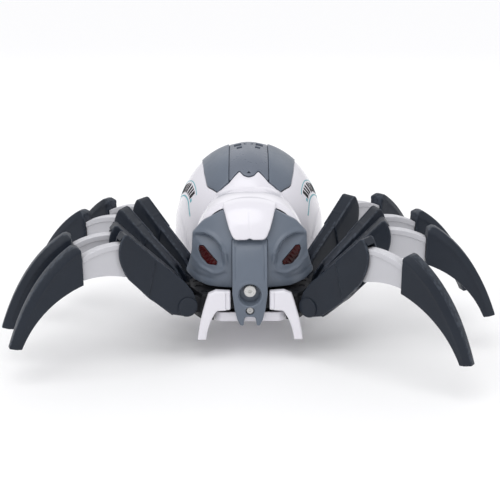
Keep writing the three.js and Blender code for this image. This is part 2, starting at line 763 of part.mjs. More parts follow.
buildAbdomen();
buildHead();
buildChassis();
buildGaitLinks();
buildInnerPieces();
for (const side of ["left", "right"]) for (const number of [1, 2, 3, 4]) buildLeg(side, number);

export default robot;
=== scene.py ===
"""Looks for the eight-legged spider robot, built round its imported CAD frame.

Shapes are worked out in millimetres. MIDDLE is where the robot's own middle plane and mask
lie in the frame, and MM turns millimetres into metres. The robot faces -Y and its left is +X.
"""

import json
import math

import bmesh
import bpy
import numpy as np
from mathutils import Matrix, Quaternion, Vector
from mathutils.bvhtree import BVHTree
from mathutils.geometry import delaunay_2d_cdt


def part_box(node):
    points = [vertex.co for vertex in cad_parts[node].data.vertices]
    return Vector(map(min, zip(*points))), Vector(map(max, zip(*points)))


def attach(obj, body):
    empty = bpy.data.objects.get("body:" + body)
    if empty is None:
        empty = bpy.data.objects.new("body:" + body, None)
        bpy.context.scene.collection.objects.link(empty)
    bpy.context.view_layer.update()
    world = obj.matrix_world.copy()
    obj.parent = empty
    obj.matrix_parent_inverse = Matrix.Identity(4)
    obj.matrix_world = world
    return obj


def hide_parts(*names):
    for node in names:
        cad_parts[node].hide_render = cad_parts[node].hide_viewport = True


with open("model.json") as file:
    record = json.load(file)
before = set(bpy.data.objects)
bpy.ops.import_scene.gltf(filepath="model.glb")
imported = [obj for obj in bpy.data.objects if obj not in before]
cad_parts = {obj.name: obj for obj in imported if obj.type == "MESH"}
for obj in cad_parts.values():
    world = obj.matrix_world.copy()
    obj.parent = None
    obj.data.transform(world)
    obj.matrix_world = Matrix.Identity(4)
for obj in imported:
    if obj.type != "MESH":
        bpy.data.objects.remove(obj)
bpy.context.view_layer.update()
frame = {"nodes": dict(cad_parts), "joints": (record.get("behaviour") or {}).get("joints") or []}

MM = 0.001
SIDES = (("left", 1), ("right", -1))
LEGS = [f"{side}_{number}" for side, _ in SIDES for number in (1, 2, 3, 4)]
JOINTS = {joint["name"]: joint for joint in frame["joints"]}


def cad_box(node):
    """A CAD node's lowest and highest corners in millimetres."""
    low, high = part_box(node)
    return np.array(low) / MM, np.array(high) / MM


# The abdomen is an egg: an ellipsoid with unequal upper and lower halves.
shell_low, shell_high = cad_box("abdomen_upper_shell")
rear_end = cad_box("abdomen_rear_panel")[1][1]
EGG_HALF_X = (shell_high[0] - shell_low[0]) / 2
EGG_HALF_Y = 72.0
EGG_Y = 58.0
EGG_Z = 54.0
EGG_UP = 60.5
EGG_DOWN = 54.0
MIDDLE = np.array([(shell_low[0] + shell_high[0]) / 2, rear_end - EGG_Y - EGG_HALF_Y, 0.0])
SEAM_Z = 21.0
GAP = 0.3


# ---- camera, light and floor


def add_object(name, data):
    made = bpy.data.objects.new(name, data)
    bpy.context.scene.collection.objects.link(made)
    return made


def aim(thing, way):
    thing.rotation_mode = "QUATERNION"
    thing.rotation_quaternion = way.to_track_quat("-Z", "Y")


def make_camera():
    azimuth, elevation, roll = (math.radians(a) for a in (-0.3, 17.6, -0.25))
    flat = math.cos(elevation)
    back = Vector((math.sin(azimuth) * flat, -math.cos(azimuth) * flat, math.sin(elevation)))
    data = bpy.data.cameras.new("camera")
    data.lens = 83.0
    data.sensor_width = 36
    camera = add_object("camera", data)
    camera.location = (-0.004, -0.7579, 0.2942)
    aim(camera, -back)
    camera.rotation_quaternion @= Quaternion((0, 0, 1), roll)
    bpy.context.scene.camera = camera


def add_light(name, kind, power, way):
    """A light that shines along a direction."""
    data = bpy.data.lights.new(name, kind)
    data.energy = power
    light = add_object(name, data)
    aim(light, way)
    return light


def soft_sun(name, place, power):
    add_light(name, "SUN", power, -Vector(place)).data.angle = math.radians(50)


def soft_box(name, place, target, size, power):
    light = add_light(name, "AREA", power, Vector(target) - Vector(place))
    light.data.shape = "RECTANGLE"
    light.data.size, light.data.size_y = size
    light.location = place


def light_studio():
    scene = bpy.context.scene
    scene.view_settings.view_transform = "Standard"
    world = bpy.data.worlds.new("studio")
    world.use_nodes = True
    sky = world.node_tree.nodes["Background"]
    sky.inputs["Color"].default_value = (0.98, 0.98, 1.0, 1)
    sky.inputs["Strength"].default_value = 0.7
    scene.world = world
    soft_sun("overhead", (-0.15, -0.3, 1), 1.1)
    soft_box("front_left", (-0.75, -0.85, 0.75), (0, 0, 0.05), (0.6, 0.6), 1.5)
    soft_box("front_right", (0.8, -0.75, 0.7), (0, 0, 0.05), (0.45, 0.7), 1.0)
    soft_box("rear", (0.1, 0.95, 0.7), (0, 0, 0.06), (1.2, 0.5), 1.0)


def build_floor():
    half = 6.0
    mesh = bpy.data.meshes.new("floor")
    mesh.from_pydata([(x, y, 0) for x, y in rectangle((-half, -half), (half, half))], [], [(0, 1, 2, 3)])
    made = bpy.data.materials.new("floor")
    made.use_nodes = True
    shader = made.node_tree.nodes["Principled BSDF"]
    shader.inputs["Base Color"].default_value = (0.97, 0.97, 0.97, 1)
    shader.inputs["Roughness"].default_value = 0.85
    mesh.materials.append(made)
    add_object("floor", mesh)


# ---- outlines


def rectangle(low, high):
    (x0, y0), (x1, y1) = low[:2], high[:2]
    return [(x0, y0), (x1, y0), (x1, y1), (x0, y1)]


def arc(centre, radius, start, end, count):
    angles = np.radians(np.linspace(start, end, count + 1))
    return [(centre[0] + radius * math.cos(a), centre[1] + radius * math.sin(a)) for a in angles]


def bend(start, control, end, count):
    a, b, c = (np.array(p, float) for p in (start, control, end))
    steps = np.linspace(0, 1, count + 1)
    return [tuple((1 - t) ** 2 * a + 2 * t * (1 - t) * b + t * t * c) for t in steps]


def on_side(points, side):
    """The left side's points, mirrored over x = 0 when side is -1."""
    return [(side * p[0], *p[1:]) for p in points]


def both_sides(half):
    """A closed outline from its left half's points."""
    return [*half, *on_side([p for p in reversed(half) if p[0]], -1)]


def divide(points, step, closed=True):
    """Adds points so that none lie further apart than step."""
    points = [np.array(p[:2], float) for p in points]
    ends = points[1:] + points[:1] if closed else points[1:]
    result = []
    for a, b in zip(points, ends):
        length = np.linalg.norm(b - a)
        if length < 1e-4:
            continue
        count = max(1, math.ceil(length / step))
        result += [a + (b - a) * i / count for i in range(count)]
    if not closed:
        result.append(points[-1])
    return np.array(result)


def rounded(points, radius, step, closed=True):
    """An outline with its corners rounded. A point's third number is its own radius."""
    points = [p for p, after in zip(points, [*points[1:], points[0]]) if math.dist(p[:2], after[:2]) > 1e-3]
    result = []
    count = len(points)
    for i, point in enumerate(points):
        before, corner, after = (np.array(points[k % count][:2], float) for k in (i - 1, i, i + 1))
        back, ahead = before - corner, after - corner
        to_back, to_ahead = np.linalg.norm(back), np.linalg.norm(ahead)
        cosine = back @ ahead / (to_back * to_ahead)
        at_end = not closed and i in (0, count - 1)
        if cosine < -0.995 or at_end:
            result.append(tuple(corner))
            continue
        own = point[2] if len(point) > 2 else radius
        half_angle = math.acos(min(cosine, 0.9999)) / 2
        reach = min(own / math.tan(half_angle), 0.45 * to_back, 0.45 * to_ahead)
        result += bend(corner + back / to_back * reach, corner, corner + ahead / to_ahead * reach, 5)
    return divide(result, step, closed)


def distances(path):
    """How far along the path each of its points is."""
    return np.concatenate([[0], np.cumsum(np.linalg.norm(np.diff(path, axis=0), axis=1))])


def smooth_path(points, count):
    """Points evenly spaced along a curve through the given ones, in any dimension."""
    points = np.array(points, float)
    ends = np.vstack([2 * points[0] - points[1], points, 2 * points[-1] - points[-2]])
    dense = []
    for i in range(len(points) - 1):
        p0, p1, p2, p3 = ends[i : i + 4]
        for t in np.linspace(0, 1, 24, endpoint=False):
            dense.append(
                0.5 * (2 * p1 + (p2 - p0) * t + (2 * p0 - 5 * p1 + 4 * p2 - p3) * t**2)
                + 0.5 * (3 * p1 - p0 - 3 * p2 + p3) * t**3
            )
    dense.append(points[-1])
    dense = np.array(dense)
    along = distances(dense)
    wanted = np.linspace(0, along[-1], count)
    return np.stack([np.interp(wanted, along, dense[:, k]) for k in range(dense.shape[1])], 1)


def area(loop):
    x, y = loop[:, 0], loop[:, 1]
    return (x * np.roll(y, -1) - np.roll(x, -1) * y).sum() / 2


def inset(loop, distance):
    """The loop moved to its left, which is inward for an anticlockwise outline."""
    before = loop - np.roll(loop, 1, axis=0)
    after = np.roll(loop, -1, axis=0) - loop
    before /= np.linalg.norm(before, axis=1)[:, None]
    after /= np.linalg.norm(after, axis=1)[:, None]
    left = np.stack([-before[:, 1] - after[:, 1], before[:, 0] + after[:, 0]], 1)
    stretch = np.maximum(1 + (before * after).sum(1), 0.3)
    return loop + left / stretch[:, None] * distance


def beside(line, distance):
    """The line moved sideways."""
    line = np.array(line)
    run = np.gradient(line, axis=0)
    run /= np.linalg.norm(run, axis=1)[:, None]
    return [tuple(p) for p in line + np.stack([-run[:, 1], run[:, 0]], 1) * distance]


def clockwise(loop):
    return loop if area(loop) < 0 else loop[::-1]


def widened(outline, distance):
    return inset(clockwise(np.asarray(outline, float)), distance)


def inside(points, loop):
    """Which points lie inside a closed loop."""
    x, y = points[:, 0][:, None], points[:, 1][:, None]
    ax, ay = loop[:, 0][None], loop[:, 1][None]
    bx, by = np.roll(loop[:, 0], -1)[None], np.roll(loop[:, 1], -1)[None]
    straddles = (ay > y) != (by > y)
    crossing = ax + (y - ay) / np.where(by == ay, 1e-12, by - ay) * (bx - ax)
    return (straddles & (x < crossing)).sum(1) % 2 == 1


def between(points, loops):
    """Which points lie inside the first loop and outside the others."""
    result = inside(points, loops[0])
    for hole in loops[1:]:
        result &= ~inside(points, hole)
    return result


def distance_to(points, path, closed=False):
    """Distance from each point to a polyline."""
    path = np.asarray(path, float)
    starts = path if closed else path[:-1]
    ends = np.roll(path, -1, axis=0) if closed else path[1:]
    run = ends - starts
    size = np.maximum((run**2).sum(1), 1e-12)
    best = np.full(len(points), 1e9)
    for a, r, s in zip(starts, run, size):
        t = np.clip((points - a) @ r / s, 0, 1)
        best = np.minimum(best, np.linalg.norm(points - a - t[:, None] * r, axis=1))
    return best


def ease(value, low, high):
    """0 below low, 1 above high, smooth between."""
    t = np.clip((value - low) / (high - low), 0, 1)
    return t * t * (3 - 2 * t)


# ---- solid shapes


class Shape:
    """Vertices, faces and how much of a worn edge each vertex is, from 0 to 1."""

    def __init__(self, points, faces, edge=None):
        self.points = np.asarray(points, float).reshape(-1, 3)
        self.faces = [tuple(int(i) for i in f) for f in faces]
        self.edge = np.zeros(len(self.points)) if edge is None else np.asarray(edge, float)

    def __add__(self, other):
        base = len(self.points)
        moved = [tuple(i + base for i in f) for f in other.faces]
        points = np.vstack([self.points, other.points])
        return Shape(points, self.faces + moved, np.concatenate([self.edge, other.edge]))


def as_height(value):
    return value if callable(value) else lambda u, v: np.full(len(u), float(value))


def triangulate(loops, creases, step):
    """Flat points and triangles that fill the first loop and leave out the others.

    The creases are open lines that the triangles follow. The last result says which point each
    of the loops' own points became."""
    runs = [(loop, True) for loop in loops] + [(divide(line, step, closed=False), False) for line in creases]
    flat, lines = [], []
    for points, closed in runs:
        base, count = sum(len(f) for f in flat), len(points)
        flat.append(points)
        lines += [(base + i, base + (i + 1) % count) for i in range(count if closed else count - 1)]
    low, high = loops[0].min(0), loops[0].max(0)
    rows = [np.zeros((0, 2))]
    for k, y in enumerate(np.arange(low[1] + step / 2, high[1], step * 0.866)):
        x = np.arange(low[0] + step / 2 * (k % 2), high[0], step)
        rows.append(np.column_stack([x, np.full(len(x), y)]))
    grid = np.vstack(rows)
    grid = grid[between(grid, loops)]
    clear = [distance_to(grid, loop, closed=True) for loop in loops]
    clear += [distance_to(grid, line) for line in creases]
    grid = grid[np.min(clear, axis=0) > step * 0.45]
    wanted = [Vector(p) for p in np.vstack([*flat, grid])]
    made, _, triangles, origin, _, _ = delaunay_2d_cdt(wanted, lines, [], 0, 1e-6)
    made = np.array([tuple(p) for p in made])
    centres = np.array([made[list(t)].mean(0) for t in triangles])
    kept = [t for t, good in zip(triangles, between(centres, loops)) if good]
    return made, kept, {old: new for new, olds in enumerate(origin) for old in olds}


def sheet(outline, top, bottom, lift, step, edge, holes=(), creases=(), round_back=False):
    """A closed solid over a flat outline, with rounded edges and any holes.

    top and bottom are heights over the outline, as numbers or functions of (u, v), and lift
    turns (u, v, height) into points."""
    loops = [np.asarray(loop, float) for loop in (outline, *holes)]
    loops = [loop if (area(loop) > 0) == (i == 0) else loop[::-1] for i, loop in enumerate(loops)]
    turns = np.linspace(0, math.pi / 2, 4) if edge else [math.pi / 2]
    profile = [(edge * (1 - math.cos(a)), edge * (1 - math.sin(a))) for a in turns]
    flat, triangles, new_of = triangulate([inset(loop, edge) for loop in loops], creases, step)
    points, faces, wear = [], [], []

    def add(flat_points, face, drop, worn):
        base = sum(len(p) for p in points)
        u, v = flat_points[:, 0], flat_points[:, 1]
        points.append(lift(u, v, face(u, v) + drop))
        wear.append(np.full(len(flat_points), worn))
        return base

    outer_rings = []
    for face, sign, is_round in ((as_height(top), -1, True), (as_height(bottom), 1, round_back)):
        base = add(flat, face, 0, 0)
        faces += [tuple(base + i for i in t) for t in triangles]
        rounds = profile[:-1] if is_round else [(0, 0)] * bool(edge)
        first = 0
        for loop in loops:
            rings = []
            for away, drop in rounds:
                start = add(inset(loop, away), face, sign * drop, 1.0)
                rings.append([start + i for i in range(len(loop))])
            rings.append([base + new_of[first + i] for i in range(len(loop))])
            faces += [made for a, b in zip(rings, rings[1:]) for made in ring_faces(a, b)]
            outer_rings.append(rings[0])
            first += len(loop)
    for a, b in zip(outer_rings, outer_rings[len(loops):]):
        faces += ring_faces(a, b)
    return Shape(np.vstack(points), faces, np.concatenate(wear))


def ring_faces(a, b):
    """Four-sided faces between two rings of vertex numbers."""
    return list(zip(a, a[1:] + a[:1], b[1:] + b[:1], b))


def loft(rings, hollow=False):
    """Skin over rings of points, with its ends closed, or joined to each other when hollow."""
    size = len(rings[0])
    rows = [list(range(k * size, (k + 1) * size)) for k in range(len(rings))]
    faces = [face for a, b in zip(rows, rows[1:]) for face in ring_faces(a, b)]
    faces += ring_faces(rows[-1], rows[0]) if hollow else [tuple(rows[0]), tuple(rows[-1])]
    return Shape(np.vstack(rings), faces)


CORE = 0.01  # radius of the ring that closes a turned shape at its axis


def lathe(profile, centre, axis, count, hollow=False):
    """A profile of (radius, distance along axis) turned round an axis through centre."""
    axis = Vector(axis).normalized()
    across = axis.orthogonal().normalized()
    other = axis.cross(across)
    angles = np.linspace(0, 2 * math.pi, count, endpoint=False)
    ways = [across * math.cos(a) + other * math.sin(a) for a in angles]
    rings = [[Vector(centre) + axis * along + way * radius for way in ways] for radius, along in profile]
    return loft(rings, hollow)


def mirrored(profile):
    """A profile for the lathe from its first half."""
    return [*profile, *[(radius, -along) for radius, along in reversed(profile)]]


def solid(profile):
    """A profile for the lathe with both ends brought in to the axis."""
    return [(CORE, profile[0][1]), *profile, (CORE, profile[-1][1])]


def block(low, high):
    """A plain box, for cutting."""
    return loft([[(*corner, z) for corner in rectangle(low, high)] for z in (low[2], high[2])])


def slab(columns, rows, front, back):
    """A closed solid between two surfaces, each a function of two numbers from 0 to 1."""
    c, r = np.meshgrid(np.linspace(0, 1, columns + 1), np.linspace(0, 1, rows + 1))
    sheets = [np.stack(f(c.ravel(), r.ravel()), 1) for f in (front, back)]
    at = lambda s, i, j: s * (columns + 1) * (rows + 1) + j * (columns + 1) + i
    faces = []
    for s in (0, 1):
        faces += [
            (at(s, i, j), at(s, i + 1, j), at(s, i + 1, j + 1), at(s, i, j + 1))
            for i in range(columns)
            for j in range(rows)
        ]
    rim = [(i, 0) for i in range(columns)] + [(columns, j) for j in range(rows)]
    rim += [(i, rows) for i in range(columns, 0, -1)] + [(0, j) for j in range(rows, 0, -1)]
    faces += ring_faces([at(0, *p) for p in rim], [at(1, *p) for p in rim])
    return Shape(np.vstack(sheets), faces)


def to_frame(points):
    """From the robot's own millimetres to the frame's metres."""
    return (points + MIDDLE) * MM


def to_mesh(name, shape, place):
    mesh = bpy.data.meshes.new(name)
    mesh.from_pydata([tuple(p) for p in place(shape.points)], [], shape.faces)
    worn = mesh.attributes.new("edge", "FLOAT", "POINT")
    worn.data.foreach_set("value", shape.edge)
    work = bmesh.new()
    work.from_mesh(mesh)
    bmesh.ops.recalc_face_normals(work, faces=work.faces)
    work.to_mesh(mesh)
    work.free()
    return mesh


def finish_mesh(mesh, finish, angle):
    mesh.polygons.foreach_set("use_smooth", [True] * len(mesh.polygons))
    mesh.set_sharp_from_angle(angle=math.radians(angle))
    mesh.materials.clear()
    mesh.materials.append(finish)


def make(name, shape, finish, stands_for=None, body="robot_body", angle=38, cuts=(), place=to_frame):
    """One piece from a shape less its cuts, shown in place of the CAD node it stands for."""
    mesh = to_mesh(name, shape, place)
    if cuts:
        mesh = carve(mesh, cuts)
    finish_mesh(mesh, finish, angle)
    piece = add_object(name, mesh)
    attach(piece, body)
    if stands_for:
        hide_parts(stands_for)


def carve(mesh, cuts):
    """The mesh less each of the cutting shapes."""
    work = add_object("carved", mesh)
    tools = []
    for cut in cuts:
        tool = add_object("cutter", to_mesh("cutter", cut, to_frame))
        modifier = work.modifiers.new("cut", "BOOLEAN")
        modifier.operation = "DIFFERENCE"
        modifier.solver = "EXACT"
        modifier.object = tool
        tools.append(tool)
    bpy.context.view_layer.update()
    seen = work.evaluated_get(bpy.context.evaluated_depsgraph_get())
    result = bpy.data.meshes.new_from_object(seen)
    for tool in [*tools, work]:
        bpy.data.objects.remove(tool)
    return result


# ---- materials


def node(tree, kind, inputs=None, **settings):
    made = tree.nodes.new("ShaderNode" + kind)
    for key, value in settings.items():
        setattr(made, key, value)
    for key, value in (inputs or {}).items():
        if isinstance(value, bpy.types.NodeSocket):
            tree.links.new(value, made.inputs[key])
        else:
            made.inputs[key].default_value = value
    return made


def noise(tree, where, scale, detail, rough=0.5):
    inputs = {"Vector": where, "Scale": scale, "Detail": detail, "Roughness": rough}
    return node(tree, "TexNoise", inputs).outputs["Fac"]


def stretch(tree, value, low, high, to_low, to_high):
    inputs = {"Value": value, "From Min": low, "From Max": high, "To Min": to_low, "To Max": to_high}
    return node(tree, "MapRange", inputs).outputs["Result"]


def blend_colours(tree, share, a, b):
    made = node(tree, "Mix", data_type="RGBA")
    for socket, value in ((0, share), (6, a), (7, b)):
        if isinstance(value, bpy.types.NodeSocket):
            tree.links.new(value, made.inputs[socket])
        else:
            made.inputs[socket].default_value = value if socket == 0 else (*value, 1)
    return made.outputs[2]


def scaled(colour, factor):
    return tuple(min(c * factor, 1) for c in colour)


def plastic(slot, colour, rough, vary, worn=None, wear=0.35, grain=0.12, metallic=0.0,
            coat=0.0, grain_scale=2600, specular=0.5):
    """Moulded plastic: slow colour drift, fine grain, faint handling marks and worn edges."""
    made = bpy.data.materials.new(slot)
    made.use_nodes = True
    made["slot"] = slot
    tree = made.node_tree
    shader = tree.nodes["Principled BSDF"]
    shader.inputs["Metallic"].default_value = metallic
    shader.inputs["Coat Weight"].default_value = coat
    shader.inputs["Coat Roughness"].default_value = 0.08
    shader.inputs["Specular IOR Level"].default_value = specular
    where = node(tree, "TexCoord").outputs["Object"]
    drift = noise(tree, where, 28, 3)
    base = blend_colours(
        tree, stretch(tree, drift, 0.3, 0.7, 0, 1), scaled(colour, 1 - vary), scaled(colour, 1 + vary)
    )
    edge = node(tree, "Attribute", attribute_name="edge").outputs["Fac"]
    patchy = stretch(tree, noise(tree, where, 420, 4), 0.42, 0.62, 0.15, 1)
    amount = node(tree, "Math", {0: edge, 1: patchy}, operation="MULTIPLY").outputs[0]
    share = node(tree, "Math", {0: amount, 1: wear}, operation="MULTIPLY").outputs[0]
    base = blend_colours(tree, share, base, worn or scaled(colour, 1.5))
    tree.links.new(base, shader.inputs["Base Color"])
    marks = noise(tree, where, 190, 5, 0.6)
    gloss = stretch(tree, marks, 0.3, 0.75, rough * 0.82, rough * 1.25)
    tree.links.new(gloss, shader.inputs["Roughness"])
    fine = noise(tree, where, grain_scale, 2)
    wavy = noise(tree, where, 55, 1)
    bump = node(tree, "Bump", {"Height": fine, "Strength": grain, "Distance": 0.00004})
    slow = node(tree, "Bump", {"Height": wavy, "Strength": 0.2, "Distance": 0.0002,
                               "Normal": bump.outputs["Normal"]})
    tree.links.new(slow.outputs["Normal"], shader.inputs["Normal"])
    return made


WHITE = plastic("white_shell", (0.765, 0.75, 0.8), 0.22, vary=0.012, worn=(0.7, 0.69, 0.74), coat=0.25)
BLUE_GRAY = plastic("blue_gray_shell", (0.125, 0.15, 0.19), 0.34, vary=0.05, worn=(0.22, 0.25, 0.3),
                    wear=0.25, specular=0.4)
SMOKE = plastic("smoked_window", (0.135, 0.155, 0.195), 0.3, vary=0.05, grain=0.05, specular=0.45)
SLATE = plastic("slate_plastic", (0.013, 0.018, 0.028), 0.4, vary=0.1, worn=(0.07, 0.085, 0.11),
                wear=0.45, specular=0.28)
SILVER_LEG = plastic("silver_tibia", (0.53, 0.53, 0.56), 0.36, vary=0.03, worn=(0.72, 0.72, 0.76))
SILVER = plastic("silver_plastic", (0.6, 0.595, 0.58), 0.3, vary=0.03, metallic=0.2)
STEEL = plastic("steel", (0.42, 0.42, 0.42), 0.28, vary=0.05, metallic=0.9)
BLACK = plastic("black_chassis", (0.01, 0.011, 0.014), 0.5, vary=0.15, worn=(0.03, 0.033, 0.04), specular=0.3)
RED = plastic("red_lens", (0.045, 0.0015, 0.0022), 0.2, vary=0.9, worn=(0.06, 0.005, 0.006),
              specular=0.25)
RUBBER = plastic("wheel_rubber", (0.014, 0.014, 0.015), 0.75, vary=0.15, grain=0.4, grain_scale=1500)
BATTERY = plastic("battery", (0.02, 0.035, 0.08), 0.35, vary=0.1)
BOARD = plastic("board", (0.012, 0.09, 0.04), 0.4, vary=0.15)
TANK = plastic("tank", (0.55, 0.68, 0.75), 0.12, vary=0.03)
INK = plastic("ink_black", (0.004, 0.004, 0.006), 0.5, vary=0.1, specular=0.2)
TEAL = plastic("ink_teal", (0.12, 0.4, 0.45), 0.4, vary=0.08, specular=0.3)
for ink in (INK, TEAL):
    ink["slot"] = "white_shell"


# ---- abdomen

SPREAD = 60.0  # mm of flat map per radian of the egg, measured from its top


def unit_to_map(nx, ny, nz):
    polar = np.arccos(np.clip(nz, -1, 1)) * SPREAD
    turn = np.arctan2(ny, nx)
    return np.stack([polar * np.cos(turn), polar * np.sin(turn)], -1)


def egg_lift(u, v, height):
    polar = np.hypot(u, v) / SPREAD
    turn = np.arctan2(v, u)
    n = np.stack([np.sin(polar) * np.cos(turn), np.sin(polar) * np.sin(turn), np.cos(polar)], 1)
    half = np.stack([np.full(len(u), EGG_HALF_X), np.full(len(u), EGG_HALF_Y),
                     np.where(n[:, 2] > 0, EGG_UP, EGG_DOWN)], 1)
    out = n / half
    out /= np.linalg.norm(out, axis=1)[:, None]
    return np.array([0, EGG_Y, EGG_Z]) + n * half + out * np.asarray(height)[:, None]


def third(a, b):
    """The third coordinate of a unit vector."""
    return np.sqrt(np.maximum(1 - a**2 - b**2, 0))


def unit_height(z):
    """A height as a share of the egg's upper or lower half."""
    return (z - EGG_Z) / np.where(z > EGG_Z, EGG_UP, EGG_DOWN)


def map_from_top(points):
    x, y = np.transpose(points)
    nx, ny = x / EGG_HALF_X, (y - EGG_Y) / EGG_HALF_Y
    return unit_to_map(nx, ny, third(nx, ny))


def map_from_behind(points):
    x, z = np.transpose(points)
    nx, nz = x / EGG_HALF_X, unit_height(z)
    return unit_to_map(nx, third(nx, nz), nz)


def map_from_side(points, side):
    """From (y, z) as seen from the left (side 1) or right (-1)."""
    y, z = np.transpose(points)
    ny, nz = (y - EGG_Y) / EGG_HALF_Y, unit_height(z)
    return unit_to_map(side * third(ny, nz), ny, nz)


GROOVE_X = 13.9
FENDER = [
    (GROOVE_X + 0.1, 12.4), (21.5, 9.6, 1.5), (29, 19.5, 12), (31.5, 36, 60), (33, 56, 60), (34, 71, 30),
    (33.5, 82, 12), (31.5, 91, 2.5), (28, 92, 4), (24, 90.5, 4), (GROOVE_X + 0.1, 92),
]
WINDOW = both_sides([
    (0, 98, 20), (8, 97, 8), (GROOVE_X - 0.2, 93), (GROOVE_X - 0.2, 12.9), (6.7, 19.9, 1.2),
    (3.6, 15.5, 1.4), (0, 13.9, 4),
])
VENTS = [
    [(4.5, 50, 0.5), (8.2, 49), (8.6, 53.5), (5, 54.5)],
    [(5, 57, 0.5), (10.2, 56), (10.8, 65), (5.6, 66)],
    [(5.4, 71, 0.5), (11, 70), (11.2, 80), (6, 81.5)],
    [(1, 59.5, 0.3), (3.2, 58.6), (3.6, 64.5)],
    [(1, 73.5, 0.3), (3.4, 72.6), (3.8, 79.5)],
]
REAR_EDGE = [(19, SEAM_Z), (20.9, 42, 40), (22, 62, 40), (18, 86, 40), (9.3, 103)]
SHELL_WALL = 2.4
ARCHES = (((42, 21), (34.5, 49.5)), ((34, 21), (28, 37.5)))


def arch_line(arch, grown):
    """One side's arch as seen from the side, moved outward by a distance."""
    (y, z), (half, rise) = arch
    angles = np.radians(np.linspace(4, 176, 60))
    return [(y + (half + grown) * math.cos(a), z + (rise + grown) * math.sin(a)) for a in angles]


def shell_relief(u, v):
    """The two low arches pressed into each flank."""
    place = egg_lift(u, v, np.zeros(len(u)))
    height = np.zeros(len(u))
    for (y, z), (half, rise) in ARCHES:
        reach = np.hypot((place[:, 1] - y) / half, (place[:, 2] - z) / rise)
        height += 0.4 * (1 - ease((reach - 1) * half, -0.1, 0.9)) * (np.abs(place[:, 0]) > 12)
    return height


def cover_line():
    """Left half of the opening for the covers, rear to front, seen from above."""
    return [(8.9, 97.4, 2), (GROOVE_X, 93.4), *FENDER[-2:0:-1], (GROOVE_X, 12.2), (6.5, 19.4, 1.2),
            (3.4, 15, 1.2), (0, 13.4, 4)]


def seam_arc(z, start, end, count):
    polar = math.acos((z - EGG_Z) / (EGG_DOWN if z < EGG_Z else EGG_UP)) * SPREAD
    return [(polar * math.cos(a), polar * math.sin(a)) for a in np.linspace(start, end, count)]


def rear_edge(shift):
    """The left edge of the rear panel on the map, foot first, and the turn at its foot."""
    edge = map_from_behind(rounded(REAR_EDGE, 1.0, 1.3, closed=False)) + [shift, 0]
    return edge, math.atan2(edge[0][1], edge[0][0])


def build_upper_shell():
    edge, turn = rear_edge(GAP / 2)
    top = map_from_top(widened(rounded(both_sides(cover_line()), 1.0, 1.3), GAP))
    start, end = (int(np.argmin(np.linalg.norm(top - edge[-1] * [flip, 1], axis=1))) for flip in (1, -1))
    front = np.roll(top, -start, axis=0)[: (end - start) % len(top) + 1]
    seam = seam_arc(SEAM_Z + GAP / 2, math.pi - turn, 2 * math.pi + turn, 190)
    loop = np.vstack([seam[:-1], edge[:-1], front, (edge[1:-1] * [-1, 1])[::-1]])
    creases = [
        map_from_side(arch_line(arch, away), side)
        for _, side in SIDES
        for arch in ARCHES
        for away in (-0.1, 0.9)
    ]
    shape = sheet(loop, shell_relief, -SHELL_WALL, egg_lift, 2.2, 0.45, creases=creases)
    make("upper_shell", shape, WHITE, "abdomen_upper_shell")
    return shape


def build_rear_panel():
    edge, turn = rear_edge(-GAP / 2)
    seam = seam_arc(SEAM_Z + GAP / 2, math.pi - turn, turn, 40)
    lip = map_from_top(divide([(8.6, 97.8), (0, 98.6), (-8.6, 97.8)], 1.3, closed=False))
    loop = np.vstack([edge[:-1], lip, (edge[:-1] * [-1, 1])[::-1], seam[1:-1]])
    shape = sheet(loop, 0, -SHELL_WALL, egg_lift, 2.2, 0.45)
    make("rear_panel", shape, WHITE, "abdomen_rear_panel")
    return shape


def build_covers():
    for name, side in SIDES:
        outline = map_from_top(rounded(on_side(FENDER, side), 1.0, 1.3))
        shape = sheet(outline, 0.8, -1.8, egg_lift, 2.0, 0.7)
        make(f"fender_cover_{name}", shape, BLUE_GRAY, f"fender_{name}")
    holes = [map_from_top(rounded(on_side(vent, side), 0.6, 0.8)) for _, side in SIDES for vent in VENTS]
    nub = map_from_top(rounded([(-1.5, 16.6, 0.3), (1.5, 16.6), (0, 18.6)], 0.3, 0.4))
    outline = map_from_top(rounded(WINDOW, 0.9, 1.3))
    bulge = lambda u, v: 0.35 - 0.4 * (egg_lift(u, v, u * 0)[:, 0] / GROOVE_X) ** 2
    shape = sheet(outline, bulge, -1.4, egg_lift, 1.8, 0.3, holes=[*holes, nub])
    make("window_cover", shape, SMOKE, "top_window")
    under = map_from_top(rounded(both_sides([(0, 94), (12, 90), (12, 24), (0, 18)]), 2, 2))
    make("vent_liner", sheet(under, -1.9, -2.6, egg_lift, 3, 0), BLACK)


def hull_ring(z, grown):
    """The egg's outline at a height, moved outward."""
    share = math.sqrt(1 - ((z - EGG_Z) / (EGG_DOWN + grown)) ** 2)
    angles = np.linspace(0, 2 * math.pi, 120, endpoint=False)
    x = (EGG_HALF_X + grown) * share * np.cos(angles)
    y = EGG_Y + (EGG_HALF_Y + grown) * share * np.sin(angles)
    return np.column_stack([x, y, np.full(len(angles), z)])


HULL_LOW, HULL_TOP = 4.0, SEAM_Z - GAP / 2
WHEEL_X, WHEEL_Y, WHEEL_R, WHEEL_HALF = 27.0, 50.0, 13.0, 3.5
ROLLER_Y, ROLLER_R = 20.0, 7.0
DOOR_HALF, DOOR_FRONT, DOOR_REAR = 13.0, 58.0, 77.0
DOOR_Y = (DOOR_FRONT + DOOR_REAR) / 2


def wheel_lathe(side, profile, count):
    """A profile turned round a drive wheel's axle."""
    return lathe(solid(profile), (side * WHEEL_X, WHEEL_Y, WHEEL_R), (1, 0, 0), count)


def wheel_room(side):
    return wheel_lathe(side, mirrored([(WHEEL_R + 1, WHEEL_HALF + 1)]), 56)


